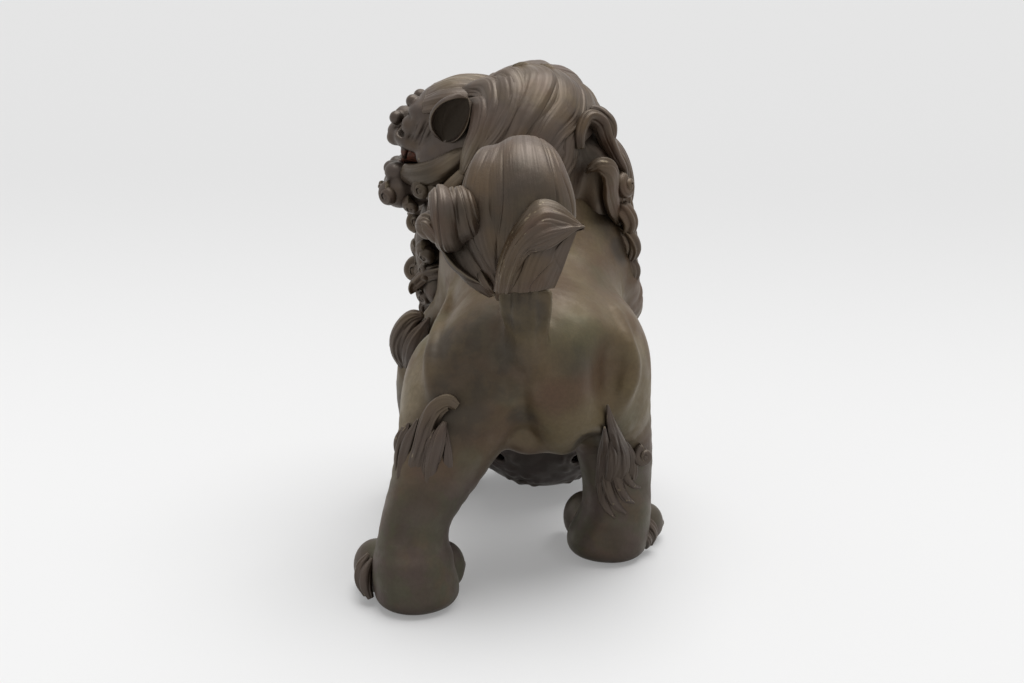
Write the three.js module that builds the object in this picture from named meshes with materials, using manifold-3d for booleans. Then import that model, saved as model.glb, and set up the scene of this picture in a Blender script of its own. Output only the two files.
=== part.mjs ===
// A bronze guardian lion with its forepaw on a pierced ball, built from separate castings.
// Millimetres, +Z up. The lion faces -Y, its left is +X, and its head is turned to its left.
// The castings seat on each other with a small gap and are held by hidden dowels.
import * as THREE from "three";
import { mergeVertices } from "three/addons/utils/BufferGeometryUtils.js";
import Module from "manifold-3d";

const wasm = await Module();
wasm.setup();

// Driving dimensions.
const GAP = 0.3; // between castings that seat on each other
const WALL = 4; // thickness of the hollow trunk
const BALL_RADIUS = 41;
const BALL_WALL = 3.2;
const BALL_AT = [-9, -76, BALL_RADIUS];
const HEAD_AT = [20, -60, 168];
const HEAD_TURN = 80; // degrees to the lion's left
const DOWEL_RADIUS = 3;
const DOWEL_LENGTH = 22;
const DOWEL_PLAY = 0.15;
const FLOOR_BOX = 400;

const BRONZE = { color: 0x5d5141, roughness: 0.5, metalness: 0.85 };
const HAIR = { color: 0x4a3f39, roughness: 0.6, metalness: 0.8 };
const BALL_BRONZE = { color: 0x2e2523, roughness: 0.55, metalness: 0.8 };
const COPPER = { color: 0x8a5040, roughness: 0.5, metalness: 0.8 };

// Geometry helpers.

const vector = ([x, y, z]) => new THREE.Vector3(x, y, z);

function solidOf(geometry) {
  const bare = geometry.clone();
  bare.deleteAttribute("normal");
  bare.deleteAttribute("uv");
  const merged = mergeVertices(bare, 1e-4);
  return new wasm.Manifold(
    new wasm.Mesh({
      numProp: 3,
      vertProperties: new Float32Array(merged.attributes.position.array),
      triVerts: new Uint32Array(merged.index.array),
    }),
  );
}

function geometryOf(solid) {
  const mesh = solid.getMesh();
  const geometry = new THREE.BufferGeometry();
  const points = new Float32Array(mesh.numVert * 3);
  for (let i = 0; i < mesh.numVert; i++) {
    points.set(mesh.vertProperties.subarray(i * mesh.numProp, i * mesh.numProp + 3), i * 3);
  }
  geometry.setAttribute("position", new THREE.BufferAttribute(points, 3));
  geometry.setIndex(new THREE.BufferAttribute(new Uint32Array(mesh.triVerts), 1));
  geometry.computeVertexNormals();
  return geometry;
}

const fuse = (solids) => solids.reduce((whole, next) => whole.add(next));

const cut = (solid, ...others) => others.reduce((left, other) => left.subtract(other), solid);

// A cut can leave crumbs beside the casting: the casting is the largest body.
function mainBody(solid) {
  return solid.decompose().reduce((best, next) => (next.volume() > best.volume() ? next : best));
}

// A body skinned over ellipses along a smooth spine.
// Each ring is [x, y, z, half width, half depth]; the width lies nearest to the vector `side`.
function loft(rings, { sides = 10, steps = rings.length * 2, side = [1, 0, 0], grow = 0 } = {}) {
  const spine = new THREE.CatmullRomCurve3(rings.map(vector));
  const sizes = new THREE.CatmullRomCurve3(rings.map((r) => new THREE.Vector3(r[3], r[4], 0)));
  const points = [];
  for (let i = 0; i <= steps; i++) {
    const t = i / steps;
    const along = spine.getTangent(t);
    const across = vector(side).addScaledVector(along, -along.dot(vector(side))).normalize();
    const through = along.clone().cross(across);
    const end = i === 0 ? -grow : i === steps ? grow : 0;
    const centre = spine.getPoint(t).addScaledVector(along, end);
    const size = sizes.getPoint(t);
    for (let k = 0; k < sides; k++) {
      const angle = (2 * Math.PI * k) / sides;
      points.push(
        centre
          .clone()
          .addScaledVector(across, (Math.max(size.x, 0.4) + grow) * Math.cos(angle))
          .addScaledVector(through, (Math.max(size.y, 0.4) + grow) * Math.sin(angle)),
      );
    }
  }
  const faces = [];
  const ring = (i, k) => i * sides + (k % sides);
  for (let i = 0; i < steps; i++) {
    for (let k = 0; k < sides; k++) {
      faces.push(ring(i, k), ring(i, k + 1), ring(i + 1, k + 1));
      faces.push(ring(i, k), ring(i + 1, k + 1), ring(i + 1, k));
    }
  }
  for (let k = 1; k < sides - 1; k++) {
    faces.push(ring(0, 0), ring(0, k + 1), ring(0, k));
    faces.push(ring(steps, 0), ring(steps, k), ring(steps, k + 1));
  }
  const geometry = new THREE.BufferGeometry().setFromPoints(points).setIndex(faces);
  return solidOf(geometry);
}

// An ellipsoid, turned about Z by `turn` degrees.
function blob([x, y, z], [a, b, c], { grow = 0, turn = 0, around = 12, rows = 8 } = {}) {
  const geometry = new THREE.SphereGeometry(1, around, rows);
  geometry.rotateX(Math.PI / 2);
  geometry.scale(a + grow, b + grow, c + grow);
  geometry.rotateZ(THREE.MathUtils.degToRad(turn));
  geometry.translate(x, y, z);
  return solidOf(geometry);
}

// A round bar from its middle along a direction.
function bar(middle, direction, radius, length, sides = 8) {
  const geometry = new THREE.CylinderGeometry(radius, radius, length, sides);
  const turn = new THREE.Quaternion().setFromUnitVectors(
    new THREE.Vector3(0, 1, 0),
    vector(direction).normalize(),
  );
  geometry.applyQuaternion(turn);
  geometry.translate(...middle);
  return solidOf(geometry);
}

const belowFloor = (() => {
  const box = new THREE.BoxGeometry(FLOOR_BOX, FLOOR_BOX, FLOOR_BOX);
  box.translate(0, 0, -FLOOR_BOX / 2);
  return solidOf(box);
})();

// From the head's own frame, facing -Y at the origin, into the lion's.
const headPlace = new THREE.Matrix4()
  .makeRotationZ(THREE.MathUtils.degToRad(HEAD_TURN))
  .setPosition(...HEAD_AT);
const inHead = (solid) => solid.transform(headPlace.elements);
const headPoint = (point) => vector(point).applyMatrix4(headPlace).toArray();
const headRings = (rings) => rings.map((r) => [...headPoint(r), r[3], r[4]]);

// The trunk: barrel, rump, haunches, shoulders and the root of the neck.

const TRUNK = [
  [-8, 61, 94, 4, 4],
  [-8, 57, 94, 23, 18],
  [-8, 46, 94, 39, 29],
  [-8, 28, 96, 45, 33],
  [-8, 8, 100, 44, 34],
  [-7, -12, 107, 43, 35],
  [-6, -32, 115, 44, 36],
  [-5, -48, 122, 42, 34],
  [-3, -62, 130, 34, 26],
  [-2, -71, 135, 18, 14],
];
const NECK = [
  [-6, -42, 128, 38, 30],
  [-2, -50, 147, 33, 29],
  [5, -55, 163, 25, 24],
];
const HAUNCH_LEFT = [24, 30, 90];
const HAUNCH_RIGHT = [-38, 8, 88];
const HAUNCH = [22, 32, 34];
const SHOULDER_LEFT = [25, -48, 112];
const SHOULDER_RIGHT = [-38, -46, 113];
const SHOULDER = [16, 24, 31];

function trunkShape(grow = 0) {
  return fuse([
    loft(TRUNK, { sides: 14, steps: 9, grow }),
    loft(NECK, { sides: 10, steps: 3, grow }),
    blob(HAUNCH_LEFT, HAUNCH, { grow, around: 12, rows: 7 }),
    blob(HAUNCH_RIGHT, HAUNCH, { grow, around: 12, rows: 7 }),
    blob(SHOULDER_LEFT, SHOULDER, { grow, around: 10, rows: 6 }),
    blob(SHOULDER_RIGHT, SHOULDER, { grow, around: 10, rows: 6 }),
  ]);
}

// The trunk is cast hollow and stays open at the neck, where the head plugs its throat.
function throat(grow = 0) {
  const thin = 2 * WALL - grow;
  const rings = NECK.map(([x, y, z, a, b]) => [x, y, z + WALL, a - thin, b - thin]);
  return loft(rings, { sides: 8, steps: 2 });
}

function trunkCavity() {
  const core = TRUNK.slice(2, -1).map(([x, y, z, a, b]) => [x, y, z, a - WALL, b - WALL]);
  return loft(core, { sides: 8, steps: 4 }).add(throat());
}

// The legs. Rings run from the seat in the trunk down to the sole.

const HIND_LEFT = [
  [15, 27, 92, 28, 32],
  [20, 36, 75, 27, 27],
  [26, 47, 61, 21, 21],
  [31, 56, 49, 16.5, 17],
  [35, 61, 38, 14.5, 15],
  [36.5, 63, 26, 15.5, 15.5],
  [37.5, 66, 13, 19, 19.5],
  [37.5, 66, -3, 16.5, 17.5],
];
const HIND_RIGHT = [
  [-37, 9, 88, 21, 32],
  [-42, 5, 70, 18, 27],
  [-46, 3, 55, 15, 20],
  [-47, 4, 43, 13.5, 16],
  [-46.5, 5, 32, 13.5, 14.5],
  [-46, 4, 21, 15, 15],
  [-46, 2, 11, 18, 18],
  [-46, 2, -3, 15, 15],
];
const FORE_LEFT = [
  [29, -50, 108, 12, 21],
  [34, -50, 94, 12, 19],
  [41, -49, 80, 13.5, 17],
  [45, -50, 66, 13, 14.5],
  [46, -54, 52, 11.5, 12],
  [45, -57, 38, 11.5, 11.5],
  [44, -58, 25, 13, 13],
  [44, -58, 12, 15.5, 16],
  [44, -58, -3, 13, 13.5],
];
const FORE_RIGHT = [
  [-38, -48, 112, 14, 21],
  [-43, -53, 99, 12.5, 16],
  [-43, -66, 92, 11.5, 12.5],
  [-36, -79, 93, 11, 11],
  [-25, -86, 98, 11.5, 10.5],
  [-14, -85, 98, 13, 10],
];

// Four toes fan out ahead of a foot, each with a claw; `heading` is in degrees from -Y.
function toes([x, y, z], spread, reach, size, heading, grow) {
  return [-1.5, -0.5, 0.5, 1.5].flatMap((place) => {
    const degrees = heading + place * spread;
    const angle = THREE.MathUtils.degToRad(degrees);
    const ahead = (distance, height) => [
      x + distance * Math.sin(angle),
      y - distance * Math.cos(angle),
      height,
    ];
    const tip = reach + size[1];
    const claw = [
      [...ahead(tip - 5, z), size[0] * 0.4, size[0] * 0.45],
      [...ahead(tip - 0.5, z - 2), size[0] * 0.3, size[0] * 0.35],
      [...ahead(tip + 1.5, z - size[2] * 0.6), 0.6, 0.6],
    ];
    return [
      blob(ahead(reach, z), size, { grow, turn: degrees, around: 8, rows: 4 }),
      loft(claw, { sides: 3, steps: 2, side: [Math.cos(angle), Math.sin(angle), 0], grow }),
    ];
  });
}

const FOOT_TOE = [8, 14, 12];
const PAW_TOE = [6.5, 11, 8];

const standing = (rings, foot, spread, reach, heading) => (grow = 0) =>
  cut(
    fuse([
      loft(rings, { sides: 10, steps: 8, grow }),
      ...toes(foot, spread, reach, FOOT_TOE, heading, grow),
    ]),
    belowFloor,
  );

const hindLeftShape = standing(HIND_LEFT, [38, 67, 9], 32, 18, 5);
const hindRightShape = standing(HIND_RIGHT, [-45.5, 3, 9], 32, 17, 5);
const foreLeftShape = standing(FORE_LEFT, [44, -57, 9], 30, 16, 0);

function foreRightShape(grow = 0) {
  return fuse([
    loft(FORE_RIGHT, { sides: 10, steps: 8, side: [0, 0, 1], grow }),
    blob([-11, -81, 92], [15, 16, 12], { grow, around: 10, rows: 6 }),
    ...toes([-11, -81, 88], 24, 14, PAW_TOE, 10, grow),
  ]);
}

// The hair: every lock is a flat tapering loft, `side` giving the way its flat lies.

const lock = (rings, side, grow) => loft(rings, { sides: 6, steps: 6, side, grow });

const locks = (all, side) => (grow = 0) => fuse(all.map((rings) => lock(rings, side, grow)));

const HOCK_LEFT = [
  [
    [30, 71, 42, 5, 3],
    [28, 72, 56, 10, 5],
    [24, 72, 70, 7, 6],
    [18, 70, 82, 5, 5],
    [14, 68, 87, 2, 2],
  ],
  [
    [37, 71, 44, 4, 3],
    [38, 69, 57, 8, 5],
    [40, 63, 68, 4, 5],
    [41, 57, 77, 1, 1],
  ],
  [
    [45, 62, 46, 3, 3],
    [46, 58, 58, 5, 5],
    [47, 52, 67, 2, 3],
  ],
];
const HOCK_RIGHT = [
  [
    [-46, 17, 26, 5, 3],
    [-46, 20, 42, 9, 5],
    [-45, 23, 58, 6, 5],
    [-43, 24, 74, 2, 2],
  ],
  [
    [-52, 17, 28, 4, 3],
    [-56, 14, 42, 7, 5],
    [-59, 9, 52, 4, 5],
    [-58, 5, 57, 3, 3],
  ],
];
const ELBOW_LEFT = [
  [
    [52, -40, 54, 3, 2],
    [52, -34, 66, 7, 4],
    [48, -30, 79, 6, 4],
    [42, -29, 90, 2, 2],
  ],
];
const ELBOW_RIGHT = [
  [
    [-48, -46, 84, 3, 2],
    [-49, -40, 92, 6, 4],
    [-48, -33, 101, 5, 4],
    [-46, -28, 108, 2, 2],
  ],
];

// The tail: a flat root, a great plume rolled forward, a side curl and a back leaf.

const TAIL_PLUME = [
  [-8, 50, 100, 6, 4],
  [-8, 55, 108, 14, 5],
  [-9, 58, 122, 12.5, 6],
  [-9, 61, 138, 13.5, 8],
  [-9, 62, 153, 17, 11],
  [-10, 58, 168, 21.5, 14],
  [-9, 50, 181, 19, 15],
  [-8, 38, 185, 13, 11],
  [-8, 30, 177, 6, 5],
];
const TAIL_CURL = [
  [0, 62, 133, 6, 7],
  [8, 60, 146, 12, 12],
  [14, 58, 162, 14, 14],
  [22, 57, 172, 10, 12],
  [31, 59, 167, 7, 8],
  [30, 61, 158, 5, 5],
];
const TAIL_LEAF = [
  [-8, 66, 138, 13, 3],
  [-8, 73, 152, 15, 5],
  [-13, 77, 166, 13, 6],
  [-22, 76, 172, 8, 5],
  [-32, 71, 168, 1.5, 1],
];
const plumeShape = (grow = 0) => loft(TAIL_PLUME, { sides: 10, steps: 12, grow });
const tailCurlShape = (grow = 0) => loft(TAIL_CURL, { sides: 8, steps: 10, side: [1, 0, 1], grow });
const tailLeafShape = (grow = 0) => loft(TAIL_LEAF, { sides: 8, steps: 8, grow });

// The head, in its own frame: facing -Y, left +X.

const EAR = [
  [19, 2, 8, 5, 4],
  [25, 3, 13, 9, 5],
  [29, 6, 21, 8, 4],
  [29, 12, 29, 1.5, 1.5],
];
const mirrored = (rings) => rings.map(([x, ...rest]) => [-x, ...rest]);
const EAR_SIDE = [0, 1, 0.3];
const FANG = [
  [9, -33, -4, 2.6, 2.6],
  [9.5, -34, -10, 2, 2],
  [9, -33, -14, 0.5, 0.5],
];

function headShape(grow = 0) {
  const small = { grow, around: 8, rows: 4 };
  const pair = ([x, y, z], size) => [1, -1].map((s) => blob([s * x, y, z], size, small));
  const fangs = [FANG, mirrored(FANG)].map((rings) => loft(rings, { sides: 5, steps: 2, grow }));
  return inHead(
    fuse([
      blob([0, 3, 4], [24, 29, 23], { grow, around: 12, rows: 7 }),
      blob([0, -24, 2], [17, 17, 11], { grow, around: 10, rows: 6 }),
      blob([0, -39, 5], [9, 5, 5], small),
      ...pair([7, -37, 3], [5, 5, 4.5]),
      ...pair([12, -24, 18], [9, 8, 6]),
      ...pair([11.5, -28, 9], [6, 6, 6]),
      ...pair([17, -13, -5], [10, 15, 11]),
      ...fangs,
    ]),
  );
}

function jawShape(grow = 0) {
  return inHead(
    fuse([
      blob([0, -23, -22], [14, 21, 6.5], { grow, around: 10, rows: 5 }),
      blob([0, -6, -19], [17, 12, 10], { grow, around: 10, rows: 5 }),
      blob([0, -38, -21], [8, 6, 7], { grow, around: 8, rows: 5 }),
    ]),
  );
}

const tongueShape = (grow = 0) => inHead(blob([0, -20, -13], [8, 17, 3], { grow, around: 8, rows: 4 }));

const earShape = (rings) => (grow = 0) => loft(headRings(rings), { sides: 6, steps: 6, side: EAR_SIDE, grow });

// The mane: a hood over the crown and neck, and locks down each side and the chest.

const HOOD_LOCKS = [
  [
    [34, -66, 182, 8, 5],
    [16, -69, 196, 12, 6],
    [-6, -67, 198, 13, 6],
    [-26, -63, 184, 11, 6],
    [-35, -60, 166, 4, 4],
  ],
  [
    [31, -48, 186, 8, 5],
    [12, -47, 198, 12, 6],
    [-10, -43, 198, 13, 7],
    [-27, -38, 182, 11, 6],
    [-35, -34, 164, 4, 4],
  ],
  [
    [20, -33, 178, 7, 5],
    [6, -26, 184, 11, 6],
    [-9, -20, 180, 12, 7],
    [-21, -15, 165, 10, 6],
    [-27, -13, 152, 3, 3],
  ],
  [
    [18, -30, 168, 5, 4],
    [8, -20, 170, 9, 5],
    [-2, -14, 164, 9, 5],
    [-10, -10, 152, 3, 3],
  ],
];
function hoodShape(grow = 0) {
  return fuse([
    blob([-7, -51, 164], [31, 35, 35], { grow, around: 12, rows: 7 }),
    ...HOOD_LOCKS.map((rings) => lock(rings, [0, 1, 0.3], grow)),
  ]);
}

// The locks down a side share one mass of hair, so that they are one casting.
const sideLocks = (middle, size, all) => (grow = 0) =>
  fuse([
    blob(middle, size, { grow, around: 8, rows: 5 }),
    ...all.map((rings) => lock(rings, [0, 1, 0], grow)),
  ]);

const RIGHT_LOCKS = [
  [
    [-23, -40, 192, 5, 5],
    [-34, -36, 188, 7, 6],
    [-40, -32, 177, 6, 5],
    [-36, -28, 167, 3, 3],
  ],
  [
    [-23, -28, 180, 5, 5],
    [-32, -24, 169, 7, 6],
    [-38, -26, 152, 7, 5],
    [-42, -32, 138, 3, 3],
  ],
  [
    [-31, -54, 176, 6, 5],
    [-42, -51, 162, 7, 6],
    [-46, -46, 149, 6, 5],
    [-43, -42, 140, 3, 3],
  ],
  [
    [-32, -58, 156, 6, 5],
    [-46, -55, 142, 7, 6],
    [-51, -48, 129, 6, 5],
    [-51, -41, 119, 3, 3],
  ],
];
const LEFT_LOCKS = [
  [
    [20, -34, 164, 6, 5],
    [30, -32, 154, 7, 6],
    [34, -35, 142, 6, 5],
    [29, -38, 134, 3, 3],
  ],
  [
    [26, -56, 142, 7, 6],
    [42, -62, 134, 8, 6],
    [49, -66, 123, 6, 5],
    [45, -66, 114, 3, 3],
  ],
  [
    [24, -62, 124, 7, 6],
    [42, -69, 116, 8, 6],
    [50, -71, 106, 6, 5],
    [45, -69, 97, 3, 3],
  ],
];
const CHEST_LOCKS = [
  [
    [12, -64, 138, 9, 6],
    [17, -80, 124, 11, 7],
    [19, -86, 109, 7, 5],
    [14, -86, 100, 3, 3],
  ],
  [
    [0, -66, 140, 9, 6],
    [0, -83, 127, 11, 7],
    [2, -89, 114, 7, 5],
    [8, -89, 106, 3, 3],
  ],
  [
    [-12, -64, 140, 9, 6],
    [-17, -79, 128, 11, 7],
    [-20, -83, 117, 6, 5],
    [-26, -81, 109, 3, 3],
  ],
];

// The ball: two pierced half shells with a rabbet at the equator, turning on the paw's peg.

const BALL_PIERCINGS = [
  { latitude: 25, count: 6, radius: 7 },
  { latitude: 56, count: 4, radius: 5 },
];
const RABBET_HEIGHT = 3;
const SEAT_FACETS = 40; // round the ball, fine enough for it to turn in the paw's hollow
const ballSphere = (grow = 0, around = 20, rows = 8) => {
  const radius = BALL_RADIUS + grow;
  return blob(BALL_AT, [radius, radius, radius], { around, rows });
};

function piercings() {
  return BALL_PIERCINGS.flatMap(({ latitude, count, radius }) =>
    [1, -1].flatMap((half) =>
      Array.from({ length: count }, (_, k) => {
        const rise = THREE.MathUtils.degToRad(half * latitude);
        const turn = (2 * Math.PI * k) / count;
        const out = new THREE.Vector3(
          Math.cos(rise) * Math.cos(turn),
          Math.cos(rise) * Math.sin(turn),
          Math.sin(rise),
        );
        const middle = out.clone().multiplyScalar(BALL_RADIUS).add(vector(BALL_AT));
        return bar(middle.toArray(), out.toArray(), radius, 4 * BALL_WALL, 6);
      }),
    ),
  );
}

// A ring about the ball's upright axis, from below the equator to `top` above it.
function rabbet(inside, outside, top) {
  const profile = [
    [inside, -BALL_WALL],
    [outside, -BALL_WALL],
    [outside, top],
    [inside, top],
    [inside, -BALL_WALL],
  ].map(([radius, height]) => new THREE.Vector2(radius, height));
  const ring = new THREE.LatheGeometry(profile, 20);
  ring.rotateX(Math.PI / 2);
  ring.translate(...BALL_AT);
  return solidOf(ring);
}

const LIP_RADIUS = BALL_RADIUS - BALL_WALL / 2;
const ballLip = () => rabbet(BALL_RADIUS - BALL_WALL, LIP_RADIUS, RABBET_HEIGHT);
const ballSeat = () => rabbet(BALL_RADIUS - 2 * BALL_WALL, LIP_RADIUS + GAP, RABBET_HEIGHT + GAP);

function ballHalf(side, grow = 0) {
  const block = new THREE.BoxGeometry(FLOOR_BOX, FLOOR_BOX, FLOOR_BOX);
  block.translate(0, 0, BALL_AT[2] - side * (FLOOR_BOX / 2 - GAP / 2));
  const shell = cut(ballSphere(grow), ballSphere(-BALL_WALL, 10, 6), solidOf(block));
  const fitted = side > 0 ? cut(shell, ballSeat()) : shell.add(ballLip());
  return cut(fitted, ...piercings());
}

// The round bars that hold the castings together: [name, middle, direction, radius, length].

const DOWELS = [
  ["hind_leg_left_dowel", [26, 46, 62], [2, 9, -11], DOWEL_RADIUS, DOWEL_LENGTH],
  ["hind_leg_right_dowel", [-45, 4, 57], [-2, 0, -12], DOWEL_RADIUS, DOWEL_LENGTH],
  ["foreleg_left_dowel", [36, -50, 90], [6, 0, -13], DOWEL_RADIUS, DOWEL_LENGTH],
  ["foreleg_right_dowel", [-43, -60, 95], [0, -13, -7], DOWEL_RADIUS, DOWEL_LENGTH],
  ["tail_dowel", [-8.5, 52, 115], [0, 10, 2], DOWEL_RADIUS, DOWEL_LENGTH * 0.8],
  ["mane_dowel", [4, -27, 160], [0, 10, 2], DOWEL_RADIUS * 0.8, DOWEL_LENGTH * 0.7],
  ["neck_pin", [-16, -53, 157], [10, 0, 1], DOWEL_RADIUS * 0.8, DOWEL_LENGTH],
  ["tail_curl_rivet", [2, 61, 144], [10, 0, 2], DOWEL_RADIUS * 0.6, DOWEL_LENGTH / 2],
  ["tail_leaf_rivet", [-8, 67, 145], [0, 10, -2], DOWEL_RADIUS * 0.6, DOWEL_LENGTH / 2],
];
const PEG_RADIUS = 4;
const PEG_TOP = 96;
const PEG_LENGTH = 24;
const pegAt = [BALL_AT[0], BALL_AT[1], PEG_TOP - PEG_LENGTH / 2];
const peg = (grow = 0) => bar(pegAt, [0, 0, 1], PEG_RADIUS + grow, PEG_LENGTH + 2 * grow, 12);

// Assembly. Each casting is dressed to fit those listed before it, with a gap all round.

const CASTINGS = [
  ["trunk", trunkShape, BRONZE],
  ["ball_lower_half", (grow) => ballHalf(-1, grow), BALL_BRONZE],
  ["ball_upper_half", (grow) => ballHalf(1, grow), BALL_BRONZE],
  ["hind_leg_left", hindLeftShape, BRONZE],
  ["hind_leg_right", hindRightShape, BRONZE],
  ["foreleg_left", foreLeftShape, BRONZE],
  ["foreleg_right", foreRightShape, BRONZE],
  ["head", headShape, BRONZE],
  ["lower_jaw", jawShape, BRONZE],
  ["tongue", tongueShape, COPPER],
  ["ear_left", earShape(EAR), BRONZE],
  ["ear_right", earShape(mirrored(EAR)), BRONZE],
  ["mane_hood", hoodShape, HAIR],
  ["mane_right_locks", sideLocks([-34, -44, 156], [11, 22, 28], RIGHT_LOCKS), HAIR],
  ["mane_left_locks", sideLocks([30, -52, 134], [11, 18, 26], LEFT_LOCKS), HAIR],
  ["chest_locks", locks(CHEST_LOCKS, [1, 0, 0]), HAIR],
  ["tail_plume", plumeShape, HAIR],
  ["tail_curl", tailCurlShape, HAIR],
  ["tail_leaf", tailLeafShape, HAIR],
  ["hock_tuft_left", locks(HOCK_LEFT, [1, 0, 0]), HAIR],
  ["hock_tuft_right", locks(HOCK_RIGHT, [1, 0, 0]), HAIR],
  ["elbow_tuft_left", locks(ELBOW_LEFT, [1, 0, 0]), HAIR],
  ["elbow_tuft_right", locks(ELBOW_RIGHT, [1, 0, 0]), HAIR],
];

const lion = new THREE.Group();

function place(name, solid, finish) {
  const mesh = new THREE.Mesh(geometryOf(solid), new THREE.MeshStandardMaterial(finish));
  mesh.name = name;
  lion.add(mesh);
}

const bores = DOWELS.map(([, at, along, radius, length]) =>
  bar(at, along, radius + DOWEL_PLAY, length + 2 * DOWEL_PLAY),
);
const seated = [];
for (const [name, shape, finish] of CASTINGS) {
  const isBall = name.startsWith("ball");
  let solid = isBall ? shape(0) : cut(shape(0), ...seated);
  if (name === "trunk") solid = cut(solid, trunkCavity());
  if (name === "head") {
    solid = mainBody(solid).add(throat(-GAP));
    seated.push(throat());
  }
  place(name, mainBody(cut(solid, ...bores, peg(isBall ? GAP : DOWEL_PLAY))), finish);
  seated.push(isBall ? ballSphere(GAP, SEAT_FACETS, SEAT_FACETS / 2) : shape(GAP));
}
for (const [name, at, along, radius, length] of DOWELS) {
  place(name, bar(at, along, radius, length), BRONZE);
}
place("ball_peg", peg(), BRONZE);

// The origin is the middle of the footprint, on the floor.
const middle = new THREE.Box3().setFromObject(lion).getCenter(new THREE.Vector3());
lion.position.set(-middle.x, -middle.y, 0);

export default lion;
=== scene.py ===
import math

import bpy
import numpy as np
import openvdb
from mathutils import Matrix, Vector


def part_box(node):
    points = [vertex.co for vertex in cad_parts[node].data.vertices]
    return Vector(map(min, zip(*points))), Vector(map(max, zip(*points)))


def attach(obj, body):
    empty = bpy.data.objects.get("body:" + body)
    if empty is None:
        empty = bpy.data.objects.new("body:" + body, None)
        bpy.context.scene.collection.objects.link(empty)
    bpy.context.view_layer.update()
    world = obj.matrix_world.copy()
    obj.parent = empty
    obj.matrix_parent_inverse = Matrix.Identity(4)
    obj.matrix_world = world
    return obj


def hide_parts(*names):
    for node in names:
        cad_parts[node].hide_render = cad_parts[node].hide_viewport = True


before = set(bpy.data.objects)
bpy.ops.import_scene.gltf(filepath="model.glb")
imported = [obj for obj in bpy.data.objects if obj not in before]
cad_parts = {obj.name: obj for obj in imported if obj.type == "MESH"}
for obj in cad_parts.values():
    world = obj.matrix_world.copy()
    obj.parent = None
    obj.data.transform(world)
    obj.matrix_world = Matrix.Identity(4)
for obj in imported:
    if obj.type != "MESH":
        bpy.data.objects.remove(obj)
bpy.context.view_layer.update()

# The lion's own frame: millimetres, facing -Y, its left is +X.
# The CAD's origin is under the footprint's middle.
MM = 0.001
BALL_AT = np.array([-9.0, -76.0, 41.0])
BALL_RADIUS = 41.0
HEAD_AT = np.array([20.0, -60.0, 168.0])
HEAD_TURN = math.radians(80)
ball_low, ball_high = (np.array(corner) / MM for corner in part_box("ball_lower_half"))
ORIGIN_MOVE = ((ball_low + ball_high) / 2 - BALL_AT) * (1, 1, 0)
# The distance that stands for empty space, a chased line's width, and a lock's section (1 is round).
FAR = 60.0
CUT_WIDTH = 0.45
SQUARENESS = 0.87
CURL_TURNS = 1.4
HOOK_AXIS = (0, 1, 0)
# Locks thinner than this, and sheets narrower than these, have less relief and less body; all in mm.
FULL_RELIEF = 3.5
FULL_SHEET_RELIEF = 12
FULL_SHEET_BODY = 8
# How far each seed moves the fine lines that a material draws on a lock.
STRAND_SHIFT = 40


# Curves and directions.


def unit(v):
    v = np.asarray(v, float)
    return v / np.linalg.norm(v)


def smooth_step(low, high, x):
    t = np.clip((x - low) / (high - low), 0, 1)
    return t * t * (3 - 2 * t)


def turned(v, axis, degrees):
    """v turned about axis, by the right-hand rule."""
    axis = unit(axis)
    angle = math.radians(degrees)
    kept = axis * (axis @ v) * (1 - math.cos(angle))
    return v * math.cos(angle) + np.cross(axis, v) * math.sin(angle) + kept


def spline(rows, count):
    """A smooth curve through rows of any width; the first three columns are the place."""
    rows = np.asarray(rows, float)
    gaps = np.sqrt(np.linalg.norm(np.diff(rows[:, :3], axis=0), axis=1)) + 1e-6
    at = np.concatenate([[0], np.cumsum(gaps)])
    slopes = np.gradient(rows, at, axis=0)
    where = np.linspace(0, at[-1], count)
    span = np.clip(np.searchsorted(at, where, side="right") - 1, 0, len(gaps) - 1)
    width = gaps[span][:, None]
    t = ((where - at[span]) / gaps[span])[:, None]
    a, b = rows[span], rows[span + 1]
    u, v = slopes[span] * width, slopes[span + 1] * width
    start = a * (2 * t**3 - 3 * t**2 + 1) + u * (t**3 - 2 * t**2 + t)
    return start + b * (3 * t**2 - 2 * t**3) + v * (t**3 - t**2)


def lengths(points):
    """How far along a curve each of its points is."""
    steps = np.linalg.norm(np.diff(points, axis=0), axis=1)
    return np.concatenate([[0], np.cumsum(steps)])


def placed_on_head(points):
    """From the head's own frame, which faces -Y with its origin in the skull, to the lion's."""
    cosine, sine = math.cos(HEAD_TURN), math.sin(HEAD_TURN)
    turn = np.array([[cosine, -sine, 0], [sine, cosine, 0], [0, 0, 1]])
    return np.asarray(points, float) @ turn.T + HEAD_AT


# Muscle and bone: blended masses as distances on a grid, meshed where the distance is 0.

CARVED = "carved"


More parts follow.
